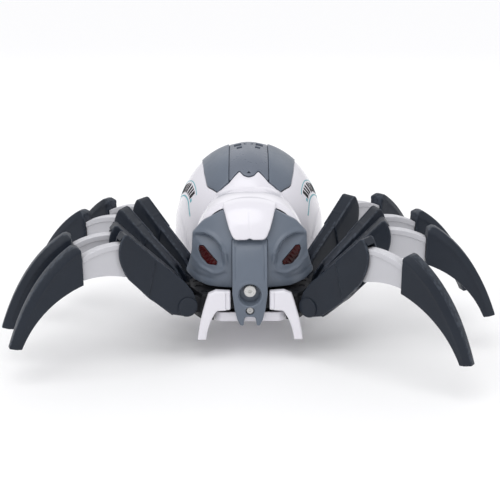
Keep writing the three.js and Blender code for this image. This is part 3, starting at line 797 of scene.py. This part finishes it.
def build_hull():
    """A tray with a flat underside, with room for the wheels, the roller, the door and the switch."""
    top = HULL_TOP
    outer = [hull_ring(z, 0) for z in (top - 0.4, 17, 13, 9.5, 6.8, 5)] + [hull_ring(4.3, -0.4)]
    centre = np.array([0, EGG_Y, 0])
    flat = outer[-1] * [0.985, 1, 0] + [0, 0, HULL_LOW]
    pole = [(flat - centre) * [0.01, 0.01, 1] + centre + [0, 0, h] for h in (0, SHELL_WALL)]
    inner = [hull_ring(z, -SHELL_WALL) for z in (7.2, 10, 14, 18, top)] + [hull_ring(top, -0.3)]
    rooms = [wheel_room(side) for _, side in SIDES]
    roller_slot = block((-6, ROLLER_Y - 8.5, -1), (6, ROLLER_Y + 8.5, 16))
    door_hole = block((-DOOR_HALF - GAP, DOOR_FRONT - GAP, 0), (DOOR_HALF + GAP, DOOR_REAR + GAP, 10))
    switch_slot = block((-5, 40.5, 0), (5, 43.5, 10))
    make("lower_hull", loft([*outer, flat, *pole, *inner], hollow=True), WHITE, "abdomen_lower_hull",
         cuts=[*rooms, roller_slot, door_hole, switch_slot])


def build_fairings():
    """A rounded drum round each wheel, cut off under the hull and inside it."""
    reach, soft, half = WHEEL_R + 3.2, 2.6, WHEEL_HALF + 3
    rim = mirrored([(reach - soft, -half), (reach - 0.8, 0.7 - half), (reach, soft - half)])
    below, above = block((-60, 0, -9), (60, 100, 2)), block((-60, 0, HULL_TOP), (60, 100, 60))
    for name, side in SIDES:
        cuts = [wheel_room(side), below, above]
        make(f"wheel_fairing_{name}", wheel_lathe(side, rim, 64), WHITE, cuts=cuts)


def build_roller_ears():
    """The two plates that hold the front roller."""
    ear = rounded(rectangle((ROLLER_Y - 4, 3.2), (ROLLER_Y + 5, 14.8)), 1.5, 1)
    for name, side in SIDES:
        lift = lambda u, v, height: np.stack([side * (7.5 + height), u, v], 1)
        make(f"roller_ear_{name}", sheet(ear, 1.4, -1.4, lift, 2, 0.4), WHITE)


def build_belly_pan():
    """The white pan that closes the thorax from below, with its wall under the fangs."""
    low, rim, wall = 24.6, 31.0, 1.1
    outline = rounded(both_sides([(19, -63.2, 3), (23.2, -60, 4), (23.2, -24, 8), (19, -6.5, 3)]), 2, 1.5)
    down = lambda u, v, height: np.stack([u, v, low - height], 1)
    make("belly_pan", sheet(outline, 0, -wall, down, 2.5, 0.7), WHITE)
    loop = clockwise(outline)[::-1]
    section = [(0.6, low + 0.1), (0, low + 1), (0, rim - 0.3), (0.3, rim), (wall, rim), (wall, low + 0.1)]
    rings = [np.column_stack([inset(loop, d), np.full(len(loop), z)]) for d, z in section]
    make("belly_pan_lip", loft(rings, hollow=True), WHITE, cuts=[block((-40, -57, 20), (40, 0, 40))])
    tongue = [(-9, low), (-9, low + wall), (-6, low + wall), (0.4, 20.6), (4, 20.6), (3.4, 17.6),
              (-0.4, 18.6), (-7, low)]
    across = lambda u, v, height: np.stack([height, u, v], 1)
    make("belly_tongue", sheet(divide(tongue, 2), 15, -15, across, 2, 0.3), WHITE)


def wheel_shape(side):
    """A drive wheel with cross ribs on its tread, and the stub of its axle."""
    count, rib_out, tread = 96, 0.48, 12.2
    half = [(8.6, -3.2), (9, -2.6), (10.2, -2.6), (10.8, -3.5), (12, -3.5), (12.5, -3)]
    shape = wheel_lathe(side, mirrored(half), count)
    away = (shape.points - [0, WHEEL_Y, WHEEL_R]) * [0, 1, 1]
    radius = np.linalg.norm(away, axis=1)
    rib = (radius > tread) & (np.arange(len(shape.points)) % count % 4 < 2)
    shape.points += away * np.where(rib, rib_out / np.maximum(radius, 1), 0)[:, None]
    return shape + lathe(solid([(2.2, 0), (2.2, 8)]), (side * 19, WHEEL_Y, WHEEL_R), (side, 0, 0), 24)


def build_underside():
    """Wheels, the front roller and the battery door with its screws."""
    for name, side in SIDES:
        make(f"wheel_{name}", wheel_shape(side), RUBBER, f"drive_wheel_{name}", body=f"drive_wheel_{name}")
    half = [(1.5, -8.6), (1.5, -5), (5.8, -5), (6.6, -4.8), (7, -4.2), (7, -1.2), (6.5, -0.8)]
    shape = lathe(solid(mirrored(half)), (0, ROLLER_Y, ROLLER_R), (1, 0, 0), 40)
    make("roller", shape, RUBBER, "front_roller", body="front_roller")
    down = lambda u, v, height: np.stack([u, v, HULL_LOW - height], 1)
    door = rounded(rectangle((-DOOR_HALF, DOOR_FRONT), (DOOR_HALF, DOOR_REAR)), 1.2, 1.5)

    def grooves(u, v):
        in_groove = np.abs(((v - DOOR_FRONT) / 2.4) % 1 - 0.5) < 0.2
        return -0.5 * in_groove * (np.abs(u) < 6) * (np.abs(v - DOOR_Y) < 7)

    shape = sheet(door, grooves, -SHELL_WALL, down, 0.9, 0.3)
    make("battery_door_piece", shape, WHITE, "battery_door")
    head = solid([(0.5, 0.35), (0.6, 0.05), (1.6, -0.02), (2, 0.3), (2, 1.6)])
    for name, side in SIDES:
        make(f"door_screw_{name}", lathe(head, (side * 10, DOOR_Y, HULL_LOW - 0.02), (0, 0, 1), 24), STEEL)


def build_tail_strip():
    """A bowed strip that stands off the middle line of the rear on two feet."""
    half, low, high, soft = 3.0, 1.7, 4.9, 0.9
    corners = [(-1, low + soft, 180), (1, low + soft, 270), (1, high - soft, 0), (-1, high - soft, 90)]
    ring = [
        point
        for side, out, turn in corners
        for point in arc((side * (half - soft), out), soft, turn, turn + 90, 4)
    ]

    def section(angle):
        return [
            (x, EGG_Y + math.cos(angle) * (EGG_HALF_Y + out), EGG_Z + math.sin(angle) * (EGG_UP + out))
            for x, out in ring
        ]

    shape = loft([section(a) for a in np.radians(np.linspace(53, 11, 41))])
    for a in np.radians([44, 16]):
        out = np.array([0, math.cos(a) / EGG_HALF_Y, math.sin(a) / EGG_UP])
        out /= np.linalg.norm(out)
        foot = np.array([0, EGG_Y + math.cos(a) * EGG_HALF_Y, EGG_Z + math.sin(a) * EGG_UP])
        shape += lathe(solid([(2.2, 0.4), (1.6, 1.2), (1.6, 2.6)]), foot, out, 24)
    make("tail_strip_piece", shape, SLATE, "tail_strip")


# ---- thorax


def curve_at(stations, values):
    """A smooth function of y through the given values."""
    path = smooth_path(np.stack([stations, values], 1), 160)
    return lambda y: np.interp(y, path[:, 0], path[:, 1])


THORAX_FRONT, THORAX_REAR, THORAX_LOW = -54.0, 16.0, 54.0
THORAX_WALL = 2.2
thorax_half = curve_at([-54, -40, -20, -8, 16], [34, 37.5, 36.2, 34.2, 32.6])
thorax_top = curve_at([-54, -46, -36, -22, -6, 4, 16], [93, 98, 100.3, 100.5, 96.5, 96, 99])
crease_half = curve_at([-54, -40, -22, -8, 4, 16], [27, 27.5, 28, 27.6, 24.5, 20.5])


def hood_point(turn, y, inset_by):
    """turn runs from 0 at the left foot over the top to 1 at the right foot."""
    power = 2 / 2.8
    angle = math.pi * (1 - turn)
    half = thorax_half(y) - inset_by
    rise = thorax_top(y) - inset_by - THORAX_LOW
    x = np.sign(np.cos(angle)) * np.abs(np.cos(angle)) ** power * half
    z = THORAX_LOW + np.abs(np.sin(angle)) ** power * rise
    outside = 0.64 if inset_by == 0 else 0
    return x, z - outside * ease(np.abs(x) - crease_half(y), -0.2, 1.0)


def build_dome():
    columns, rows = 150, 70

    def surface(inset_by):
        def at(c, r):
            y = THORAX_FRONT + (THORAX_REAR - THORAX_FRONT) * r
            x, z = hood_point(c, y, inset_by)
            low = (c <= 0) | (c >= 1)
            return x, y, np.where(low, THORAX_LOW, z)
        return at

    shape = slab(columns, rows, surface(0), surface(THORAX_WALL))

    def upright(depth):
        def at(c, r):
            x, z = 120 * c - 60, 30 + 90 * r
            return x, depth(x, z), z
        return at

    behind_mask = lambda x, z: mask_depth(x, z) + MASK_THICK + GAP
    mask_block = slab(40, 40, upright(lambda x, z: 0 * x - 120), upright(behind_mask))
    opening = widened(rounded(both_sides(cover_line()), 1.0, 2), GAP)
    ring = [np.column_stack([opening, np.full(len(opening), z)]) for z in (62.0, 130.0)]
    make("thorax_dome", shape, WHITE, "thorax_shell", cuts=[mask_block, egg_block(GAP), loft(ring)])
    return shape


def egg_block(grown):
    """The whole egg as a solid, moved outward, for cutting."""
    rings = []
    angles = np.linspace(0, 2 * math.pi, 110, endpoint=False)
    for polar in np.linspace(0.02, math.pi - 0.02, 60):
        half = EGG_UP if polar < math.pi / 2 else EGG_DOWN
        rings.append(np.stack([
            math.sin(polar) * np.cos(angles) * (EGG_HALF_X + grown),
            EGG_Y + math.sin(polar) * np.sin(angles) * (EGG_HALF_Y + grown),
            np.full(len(angles), EGG_Z + math.cos(polar) * (half + grown)),
        ], 1))
    return loft(rings)


def build_forehead():
    path = smooth_path([(-24, 98.5), (-31, 99.9), (-41, 100.8), (-51, 97.6), (-59.2, 89.5), (-63.4, 80)], 80)
    run = distances(path)
    length = run[-1]
    slope = np.gradient(path, run, axis=0)

    def lift(u, v, height):
        y, z = (np.interp(v, run, path[:, k]) for k in (0, 1))
        dy, dz = (np.interp(v, run, slope[:, k]) for k in (0, 1))
        size = np.hypot(dy, dz)
        level = height - 2.6 * (np.abs(u) / 16) ** 2.2
        return np.stack([u, y + dz / size * level, z - dy / size * level], 1)

    outline = rounded(both_sides([
        (0, length - 0.9, 0.9), (2.2, length, 2), (10.2, length, 4.5), (13, length - 7, 6),
        (15, length - 16, 30), (16.8, length - 27, 30), (17.8, length - 38, 30), (18, 0, 2),
    ]), 1.0, 1.0)
    groove = lambda u, v: -0.22 * np.exp(-((u / 0.45) ** 2)) * ease(v, length - 26, length - 14)
    lines = [[(x, length - 20), (x, length - 2.4)] for x in (-0.9, -0.4, 0, 0.4, 0.9)]
    shape = sheet(outline, groove, -2.0, lift, 1.3, 0.8, creases=lines)
    make("forehead_plate", shape, WHITE)


# ---- mask

MASK_THICK = 2.6
MASK_FRONT = -62.0
MASK_HALF = 42.0
MASK_RIM = both_sides([
    (0, 47, 3), (13, 47, 3), (27, 46.4, 8), (36, 48.2, 4), (42, 52.6, 2.5), (39.8, 59, 6), (37.7, 67, 20),
    (37, 79.6, 0.8), (30, 87.4, 14), (17, 94.6, 14), (0, 97.3, 10),
])
EYE_CENTRE = (27, 66.3)
LENS = [(5.5, 5.9), (2.7, 6.2), (-6.2, -3.1), (-5.5, -5.2), (0, -5.5), (4.1, -1.7), (5.9, 3.1)]
NOSE_HALF, NOSE_TOP, NOSE_SHOULDER = 11.2, 80.2, 78.4
SOCKET = [
    (38, 76.8), (34.4, 79.2, 3), (29.2, 80.4, 6), (23.6, 78.8, 8), (19.2, 74.8, 8), (16.9, 68.8, 8),
    (16.1, 62.1, 6), (18.2, 57.8, 5), (23.6, 56, 6), (31, 58.6, 8), (36.6, 63.5, 4), (40, 70),
]


def mask_depth(x, z):
    side = 20 * (np.abs(x) / MASK_HALF) ** 2.2
    lean = 14 * (np.maximum(z - 70, 0) / 25) ** 1.5
    return MASK_FRONT + side + lean


SOCKET_LOOP = rounded(SOCKET, 3, 0.9)
UPPER_LID = ((20.8, 61.3), (31.8, 72.7))  # along the lens's upper edge


def mask_relief(x, z):
    """Sockets, brow beads, lid facets, cheek folds and the nose border, outward in mm."""
    flat = np.stack([np.abs(x), z], 1)
    away = distance_to(flat, SOCKET_LOOP, closed=True)
    within = inside(flat, SOCKET_LOOP)
    signed = np.where(within, away, -away)
    (ax, az), (bx, bz) = UPPER_LID
    size = math.hypot(bx - ax, bz - az)
    above = ((bx - ax) * (flat[:, 1] - az) - (bz - az) * (flat[:, 0] - ax)) / size
    facet = 0.6 + 0.5 * np.clip(above - 0.6, 0, 8)
    depth = facet * ease(signed, -0.1, 1.5)
    bead = np.exp(-(((signed + 1.3) / 1.2) ** 2))
    brow = bead * ease(flat[:, 1], 60, 68) * 1.7
    lid = np.exp(-(((signed + 0.6) / 0.9) ** 2)) * (1 - ease(flat[:, 1], 57, 61)) * 0.7
    fold = distance_to(flat, [(15.5, 56), (24, 51.5), (34, 52.5), (41, 57)])
    cheek = -0.5 * np.exp(-((fold / 1.3) ** 2))
    return -depth + brow + lid + cheek


def mask_lift(x, z, height):
    return np.stack([x, mask_depth(x, z) - height, z], 1)


def eye_outline(side, grow_by):
    points = [(side * (EYE_CENTRE[0] + x), EYE_CENTRE[1] + z) for x, z in LENS]
    return widened(rounded(points, 1.1, 0.6), grow_by)


def build_mask():
    nose_gap = NOSE_HALF + GAP / 2
    half = [p for p in MASK_RIM if p[0] >= 0][2:]
    rim = [(8.5 + GAP, NOSE_TOP + GAP, 0.8), (nose_gap, NOSE_SHOULDER, 0.8), (nose_gap, 47, 0.8), *half]
    rim = rounded(both_sides(rim), 1.0, 0.9)
    holes = [eye_outline(side, 0.15) for _, side in SIDES]
    creases = [
        longest_run([(side * x, z) for x, z in widened(SOCKET_LOOP, -by) if x < 35.4])
        for _, side in SIDES
        for by in (0.05, 0.8, 1.5)
    ]
    inner = lambda x, z: np.minimum(-MASK_THICK, mask_relief(x, z) - 1.3)
    shape = sheet(rim, mask_relief, inner, mask_lift, 0.85, 0.5, holes=holes, creases=creases)
    make("mask_face", shape, BLUE_GRAY, "face_mask", angle=50)


def longest_run(points):
    """The longest stretch of a loop's points with no jump in it."""
    best, current = [], [points[0]]
    for a, b in zip(points, points[1:]):
        if math.dist(a, b) > 2.5:
            best = max(best, current, key=len)
            current = []
        current.append(b)
    return max(best, current, key=len)


def lens_relief(x, z):
    """Slanted ribs across the lens."""
    right, up = np.abs(x) - EYE_CENTRE[0], z - EYE_CENTRE[1]
    along = right * 0.72 + up * 0.69
    across = right * 0.69 - up * 0.72
    rib = np.abs((along / 2.3) % 1 - 0.5) * 2
    return -0.6 + 0.5 * rib - 0.02 * across**2


def build_eyes():
    for name, side in SIDES:
        shape = sheet(eye_outline(side, -GAP / 2), lens_relief, -2.6, mask_lift, 0.55, 0.35)
        make(f"eye_{name}", shape, RED, f"eye_lens_{name}", angle=30)


NOSE_SIDE = [
    (23.8, -69), (34, -71), (45, -71.5), (56, -70.5), (66, -67.5), (73.4, -63.4), (78, -59.1), (80.5, -57.4),
]
CUP_Z, SCREW_Z = 45.5, 34.6


def nose_lift(x, z, height):
    path = smooth_path(NOSE_SIDE, 60)
    y = np.interp(z, path[:, 0], path[:, 1]) + 1.0 * (np.abs(x) / NOSE_HALF) ** 2.4
    return np.stack([x, y - height, z], 1)


def nose_relief(x, z):
    """A rim round the cup, a collar round the screw and a groove along each upper edge."""
    rim = 0.55 * np.exp(-(((np.hypot(x, z - CUP_Z) - 8.3) / 0.8) ** 2))
    rail = -0.5 * np.exp(-(((np.abs(x) - 9.3) / 0.45) ** 2)) * ease(z, 52, 56)
    collar = 0.35 * np.exp(-(((np.hypot(x, z - SCREW_Z) - 3.6) / 0.6) ** 2))
    return rim + rail + collar


def nose_back(x, z):
    """How far behind its front the nose goes, as a negative height."""
    return np.where(z > 43.5, -6.5, -5.0)


def build_nose():
    front = rounded(both_sides([
        (8.5, NOSE_TOP, 1), (NOSE_HALF, NOSE_SHOULDER, 1), (NOSE_HALF, 46, 10), (9.8, 35, 8), (8.2, 28, 4),
        (6.2, 23.8, 1.2), (4.2, 23.8, 1.2), (3.4, 30.4, 2.4),
    ]), 1.0, 0.9)
    recess = rounded(arc((0, CUP_Z), 7.3, 0, 345, 23), 1, 1)
    hole = rounded(arc((0, SCREW_Z), 2.8, 0, 330, 11), 1, 1)
    lines = [[(s * x, 55), (s * x, 74.6)] for s in (-1, 1) for x in (8.8, 9.3, 9.8)]
    rings = [arc((0, CUP_Z), r, 0, 345, 40) for r in (7.9, 8.4, 9.0)]
    shape = sheet(front, nose_relief, nose_back, nose_lift, 0.8, 0.6, holes=[recess, hole],
                  creases=lines + rings)
    make("nose_body", shape, BLUE_GRAY, "nose_housing", angle=45)
    cup = [(7.5, 0.9), (7.5, 6.7), (CORE, 6.7), (CORE, 6.1), (6.2, 6.1), (7.0, 0.9)]
    make("nose_cup", lathe(cup, (0, -71.2, CUP_Z), (0, 1, 0), 56, hollow=True), BLUE_GRAY)
    nozzle = solid([(1.1, 1.2), (1.2, 0.3), (3.2, 0.1), (3.7, 0.3), (3.9, 0.8), (3.9, 4.4)])
    make("nozzle_tip", lathe(nozzle, (0, -69.5, 47.3), (0, 1, 0), 48), SILVER, "mist_nozzle")
    head = [(CORE, 0.8), (0.6, 0.5), (1.6, 0.25), (2.2, 0.5), (2.4, 1.0), (2.4, 2.3), (CORE, 2.3)]
    make("nose_screw_head", lathe(head, (0, -70.4, SCREW_Z), (0, 1, 0), 32), STEEL, "nose_screw")


FANG = [
    (12.4, 47, 1), (12.4, 34.4, 1.2), (21.2, 34, 2), *bend((21.2, 34), (27.2, 25.6), (28.3, 14.2), 8)[1:-1],
    (28.3, 14.1, 0.8), (34.0, 14, 0.8), *bend((34, 14), (32, 30.5), (26.7, 45.4), 10)[1:-1],
    (26.7, 45.4, 1.5), (21.8, 47.6, 1.5),
]


FANG_FRONT, FANG_BACK = 69.6, 64.1
FANG_STEP = (15.2, 15.9)


def fang_front(x, z):
    """The root's inner strip lies a step behind the rest, and the tip tapers a little."""
    return FANG_FRONT - 0.9 * (1 - ease(np.abs(x), *FANG_STEP)) - 0.5 * (1 - ease(z, 14, 24))


def build_fangs():
    lift = lambda x, z, height: np.stack([x, -height, z], 1)
    for name, side in SIDES:
        outline = rounded(on_side(FANG, side), 1.2, 0.8)
        lines = [[(side * x, 35.8), (side * x, 45.8)] for x in FANG_STEP]
        shape = sheet(outline, fang_front, FANG_BACK, lift, 1.0, 1.1, creases=lines, round_back=True)
        make(f"fang_{name}_blade", shape, WHITE, f"fang_{name}")


# ---- printed marks


class Print:
    """Thin printed marks laid on a shape's outer surface."""

    def __init__(self, shape, centre):
        self.surface = BVHTree.FromPolygons([tuple(p) for p in shape.points], shape.faces)
        self.centre = Vector(centre)
        self.parts = {}

    def touch(self, point):
        where, normal, _, _ = self.surface.find_nearest(Vector(point))
        outward = (where - self.centre).dot(normal) >= 0
        return where, normal if outward else -normal

    def add(self, ink, shape):
        self.parts[ink] = self.parts[ink] + shape if ink in self.parts else shape

    def line(self, ink, points, half=0.3, curved=False):
        """A ribbon of the given half width."""
        points = np.array(points, float)
        section = ((1, 0.06), (-1, 0.06), (-1, -0.12), (1, -0.12))
        for run in [points] if curved else [points[i : i + 2] for i in range(len(points) - 1)]:
            path = smooth_path(run, max(3, math.ceil(distances(run)[-1])))
            rings = []
            for point, way in zip(path, np.gradient(path, axis=0)):
                where, normal = self.touch(point)
                side = normal.cross(Vector(way)).normalized() * half
                rings.append([where + side * a + normal * b for a, b in section])
            self.add(ink, loft(rings))

    def dot(self, ink, point, radius, hole=CORE):
        where, normal = self.touch(point)
        profile = [(hole, -0.12), (radius, -0.12), (radius, 0.07), (hole, 0.07)]
        self.add(ink, lathe(profile, where, normal, 20, hollow=True))

    def place(self, name):
        for ink, shape in self.parts.items():
            make(f"{name}_{'ink' if ink is INK else 'teal'}", shape, ink)


BAND_TOP = [(34.6, 15.4, 78), (36.6, 26.6, 88.2), (39.8, 40.6, 91.6), (43.6, 54, 88.2), (46.8, 65.4, 81)]
BAND_LOW = [(40.5, 18.4, 72.2), (42.3, 29.6, 80.2), (45.8, 42, 81), (49, 53.4, 76.7), (50.6, 60.5, 71.8)]
GAUGE = [
    (25.4, 17.5, 22), (42.9, 25.2, 34.9), (46, 31, 41), (49.2, 38, 42.2), (48.5, 44, 36.3), (42, 46.4, 25),
]


def print_flank(marks, side):
    """The marks on one flank, front to rear."""
    top, low = (smooth_path(on_side(band, side), 41) for band in (BAND_TOP, BAND_LOW))
    marks.line(TEAL, top[3:], 0.35, curved=True)
    marks.line(TEAL, low[:-2], 0.55, curved=True)
    for i, slot in enumerate(np.linspace(5, 37, 11).astype(int)):
        a, b = top[slot], low[slot]
        lean = (top[slot + 1] - a) * 0.9
        ink = TEAL if i in (1, 10) else INK
        marks.line(ink, [a * 0.84 + b * 0.16, a * 0.2 + b * 0.8 + lean], 1.15 + 0.25 * (i % 3))
    for tick in smooth_path(on_side(GAUGE, side), 17):
        marks.dot(TEAL, tick, 0.55)
    x, y, z = side * 41.3, 29.5, 29.5
    corners = np.radians(range(0, 361, 60))
    nut = [(x + side * 0.6 * math.sin(a), y + 3.1 * math.cos(a), z + 3.1 * math.sin(a)) for a in corners]
    marks.line(INK, nut, 0.18)
    marks.dot(INK, (x, y, z), 1.3, 0.7)
    chain = on_side([(42.2, 32.4, 30.6), (45.4, 37.5, 32), (45.2, 43.2, 26)], side)
    marks.line(TEAL, chain, 0.22)
    marks.dot(INK, chain[0], 0.7)
    marks.dot(INK, chain[2], 0.7)
    rear, front = np.array(on_side([(37.5, 106.5, 72.2), (23.3, 117.2, 80.2)], side))
    for i, share in enumerate((0.06, 0.26, 0.46, 0.66, 0.86)):
        at = rear + (front - rear) * share
        marks.line(INK if i < 2 else TEAL, [at + [0, 0, 4.2], at - [0, 0.6, 4.2]], 1.25)
    marks.line(TEAL, on_side([(36.4, 111.2, 63.3), (24.4, 120, 72.4)], side), 0.3)
    chain = on_side([(39.2, 104, 38.8), (37.7, 108.4, 42.9), (35.3, 113, 47.8), (28.5, 118.3, 41.3)], side)
    marks.line(TEAL, chain, 0.22)
    marks.dot(INK, chain[0], 1.5, 1.15)
    for i in (0, 1, 3):
        marks.dot(INK, chain[i], 0.7)


def print_rear(marks, side):
    marks.line(INK, on_side([(15.5, 119, 87), (15, 121.5, 76.5), (9.5, 123.4, 82.4)], side), 0.9)
    marks.line(TEAL, on_side([(13.6, 124, 72), (8.2, 125, 77)], side), 0.3)
    marks.dot(INK, (side * 14.7, 125, 61.5), 0.8)


def print_thorax(marks, side):
    spots = [(-41, 68), (-37.6, 68), (-34, 71), (-30, 67.6), (-25.7, 70.6), (-21.7, 72.4), (-17.4, 78.4)]
    chain = [(side * 38, y, z) for y, z in spots]
    marks.line(INK, chain[:5], 0.22)
    marks.line(TEAL, chain[4:], 0.26)
    for i in (1, 2, 4):
        marks.dot(INK, chain[i], 0.6)
    marks.dot(TEAL, chain[6], 1.1)
    marks.line(INK, [(side * 38, -35.7, 61.5), (side * 38, -36, 56)], 0.22)


def build_prints(shell, panel, dome):
    sets = (
        ("flank_print", shell, (0, EGG_Y, EGG_Z), print_flank),
        ("rear_print", panel, (0, EGG_Y, EGG_Z), print_rear),
        ("thorax_print", dome, (0, -20, 60), print_thorax),
    )
    for name, shape, centre, fill in sets:
        marks = Print(shape, centre)
        for _, side in SIDES:
            fill(marks, side)
        marks.place(name)


# ---- legs

KNEE = (35, 36)


def flat_lift(u, v, height):
    return np.stack([u, height, v], 1)


def under_lift(u, v, height):
    return np.stack([u, -height, v], 1)


def caps(profile, centre):
    """A turned cap on each face of a leg piece."""
    near, far = (lathe([(r, side * a) for r, a in profile], centre, (0, 1, 0), 36) for side in (1, -1))
    return near + far


FEMUR_ARM = [*arc((0, 0), 6.8, 150, 300, 12), (9.4, -4.2, 4), (25, 8.6, 8), (30, 14, 3), (24, 38.2, 1),
             (1.5, 17, 6), (-4, 9.5, 4)]
FEMUR_HEAD = [(20, 34.6, 1.2), (26, 10, 1.2), (38.4, 23.4, 5),
              *bend((38.4, 23.4), (48.5, 41), (39.7, 52.7), 12)[1:], (37.6, 52.2, 1.5)]


def femur_shape():
    arm = rounded(FEMUR_ARM, 1.2, 1.2)
    middle = divide([(5.2, -4.8), (10, -5.2), (25, 8.6), (30, 14), (24, 38.2), (1.5, 17), (0.4, 12.4),
                     *arc((0, 0), 7.0, 70, -40, 10)], 2)
    shape = sheet(inset(middle, 0.15), 2.35, -2.35, flat_lift, 3, 0)
    for lift in (flat_lift, under_lift):
        shape += sheet(arm, 4.8, 2.3, lift, 1.8, 0.6)
    head = rounded(FEMUR_HEAD, 1.2, 1.2)
    for lift in (flat_lift, under_lift):
        shape += sheet(head, head_face, 4.1, lift, 1.6, 0.8)
    core = [(20.2, 34.4), (26, 10.6), (33, 17.9), (31.7, 27), *arc(KNEE, 9.6, 250, 135, 10), (36.6, 48),
            (41, 49), (42.7, 49), (39.6, 52.5), (37.7, 52.1)]
    shape += sheet(divide(core, 2), 4.15, -4.15, flat_lift, 3, 0)
    return shape + caps([(CORE, 4.6), (6.5, 4.6), (6.5, 5.5), (6.1, 5.85), (CORE, 5.95)], (0, 0, 0))


def head_face(u, v):
    """The knee plate: flat, with a shallow step along its straight upper edge."""
    flat = np.stack([u, v], 1)
    top = distance_to(flat, [(20, 34.6), (37.6, 52.2)])
    return 6.0 - 0.35 * (1 - ease(top, 1.9, 2.4))


TIBIA_TOP = bend((66.6, 40.5), (55, 46.6), (42, 46.4), 12)
TIBIA_LOW = bend((40, 24.6), (53, 28.6), (66.4, 25.6), 10)


def tibia_shape():
    body = rounded([*arc(KNEE, 9, 100, 260, 14), *TIBIA_LOW, *TIBIA_TOP], 0.8, 1.3)
    shape = sheet(body, tibia_face, lambda u, v: -tibia_face(u, v), flat_lift, 1.2, 0.4,
                  creases=[[p for p in beside(TIBIA_TOP, d) if p[0] < 65.7] for d in (3.0, 3.5)],
                  round_back=True)
    return shape + caps(solid([(6.6, 2.6), (6.6, 3.5), (6.2, 3.8), (5.0, 3.8)]), (KNEE[0], 0, KNEE[1]))


def tibia_face(u, v):
    """Half thickness: a web with a thicker flange along the top and a low foot rail."""
    flat = np.stack([u, v], 1)
    top = distance_to(flat, TIBIA_TOP)
    low = distance_to(flat, TIBIA_LOW)
    return 2.9 + 0.8 * (1 - ease(top, 3.0, 3.5)) + 0.25 * (1 - ease(low, 0.9, 1.5))


CLAW_OUTER = bend((114.3, -12.8), (99.5, 30.8), (72.4, 47.6), 20)
CLAW_INNER = bend((66.7, 23.4), (93.9, 14.2), (106.6, -14), 18)
CLAW_RIDGE = 4.3


def claw_face(u, v):
    """Half thickness: a bevel outside the ridge line, a slow taper inward and to the tip."""
    flat = np.stack([u, v], 1)
    outer = distance_to(flat, [*CLAW_OUTER, (70, 48.4)])
    bevel = 3.3 + 2.7 * np.clip(outer / CLAW_RIDGE, 0, 1)
    hollow = 0.5 * ease(outer, CLAW_RIDGE + 0.2, CLAW_RIDGE + 1.4)
    taper = 0.62 + 0.38 * ease(v, -16, 22)
    return (bevel - hollow) * taper


def claw_shape():
    outline = rounded([(67.4, 46, 1.5), (66.9, 40, 3), *CLAW_INNER[:-1], (106.6, -14, 0.8),
                       (114.3, -12.8, 0.8), *CLAW_OUTER[1:], (70, 48, 1.8)], 0.8, 1.3)
    creases = [beside(CLAW_OUTER, CLAW_RIDGE + d)[1:-1] for d in (0, 0.2, 1.4)]
    return sheet(outline, claw_face, lambda u, v: -claw_face(u, v), flat_lift, 1.5, 0.6, creases=creases,
                 round_back=True)


def build_legs():
    """The three leg shapes are made once, about the hip pin, and set at each leg."""
    parts = [
        ("femur", femur_shape(), SLATE, "femur"),
        ("tibia", tibia_shape(), SILVER_LEG, "lower_leg"),
        ("claw", claw_shape(), SLATE, "lower_leg"),
    ]
    for leg in LEGS:
        lift = JOINTS[f"lift_{leg}"]
        ax, ay, _ = lift["axis"]
        turn = np.array([[-ay, ax, 0], [-ax, -ay, 0], [0, 0, 1]])
        to_leg = lambda points: points @ turn * MM + np.array(lift["pos_m"])
        for name, shape, finish, body in parts:
            make(f"{name}_{leg}_piece", shape, finish, f"{name}_{leg}", body=f"{body}_{leg}", place=to_leg)


# ---- finishes of the CAD pieces that show


def finish_cad_nodes():
    """The inner and under pieces keep their CAD shape and get their own finish."""
    finishes = {
        "thorax_chassis": BLACK, "gait_link_left": SLATE, "gait_link_right": SLATE, "drive_gearbox": BLACK,
        "battery_pack": BATTERY, "circuit_board": BOARD, "water_tank": TANK, "power_switch": BLACK,
    }
    finishes.update({f"hip_arm_{leg}": BLACK for leg in LEGS})
    for name, finish in finishes.items():
        materials = frame["nodes"][name].data.materials
        materials.clear()
        materials.append(finish)


make_camera()
light_studio()
build_floor()
shell = build_upper_shell()
panel = build_rear_panel()
build_covers()
build_hull()
build_fairings()
build_roller_ears()
build_belly_pan()
build_underside()
build_tail_strip()
dome = build_dome()
build_forehead()
build_mask()
build_eyes()
build_nose()
build_fangs()
build_prints(shell, panel, dome)
build_legs()
finish_cad_nodes()
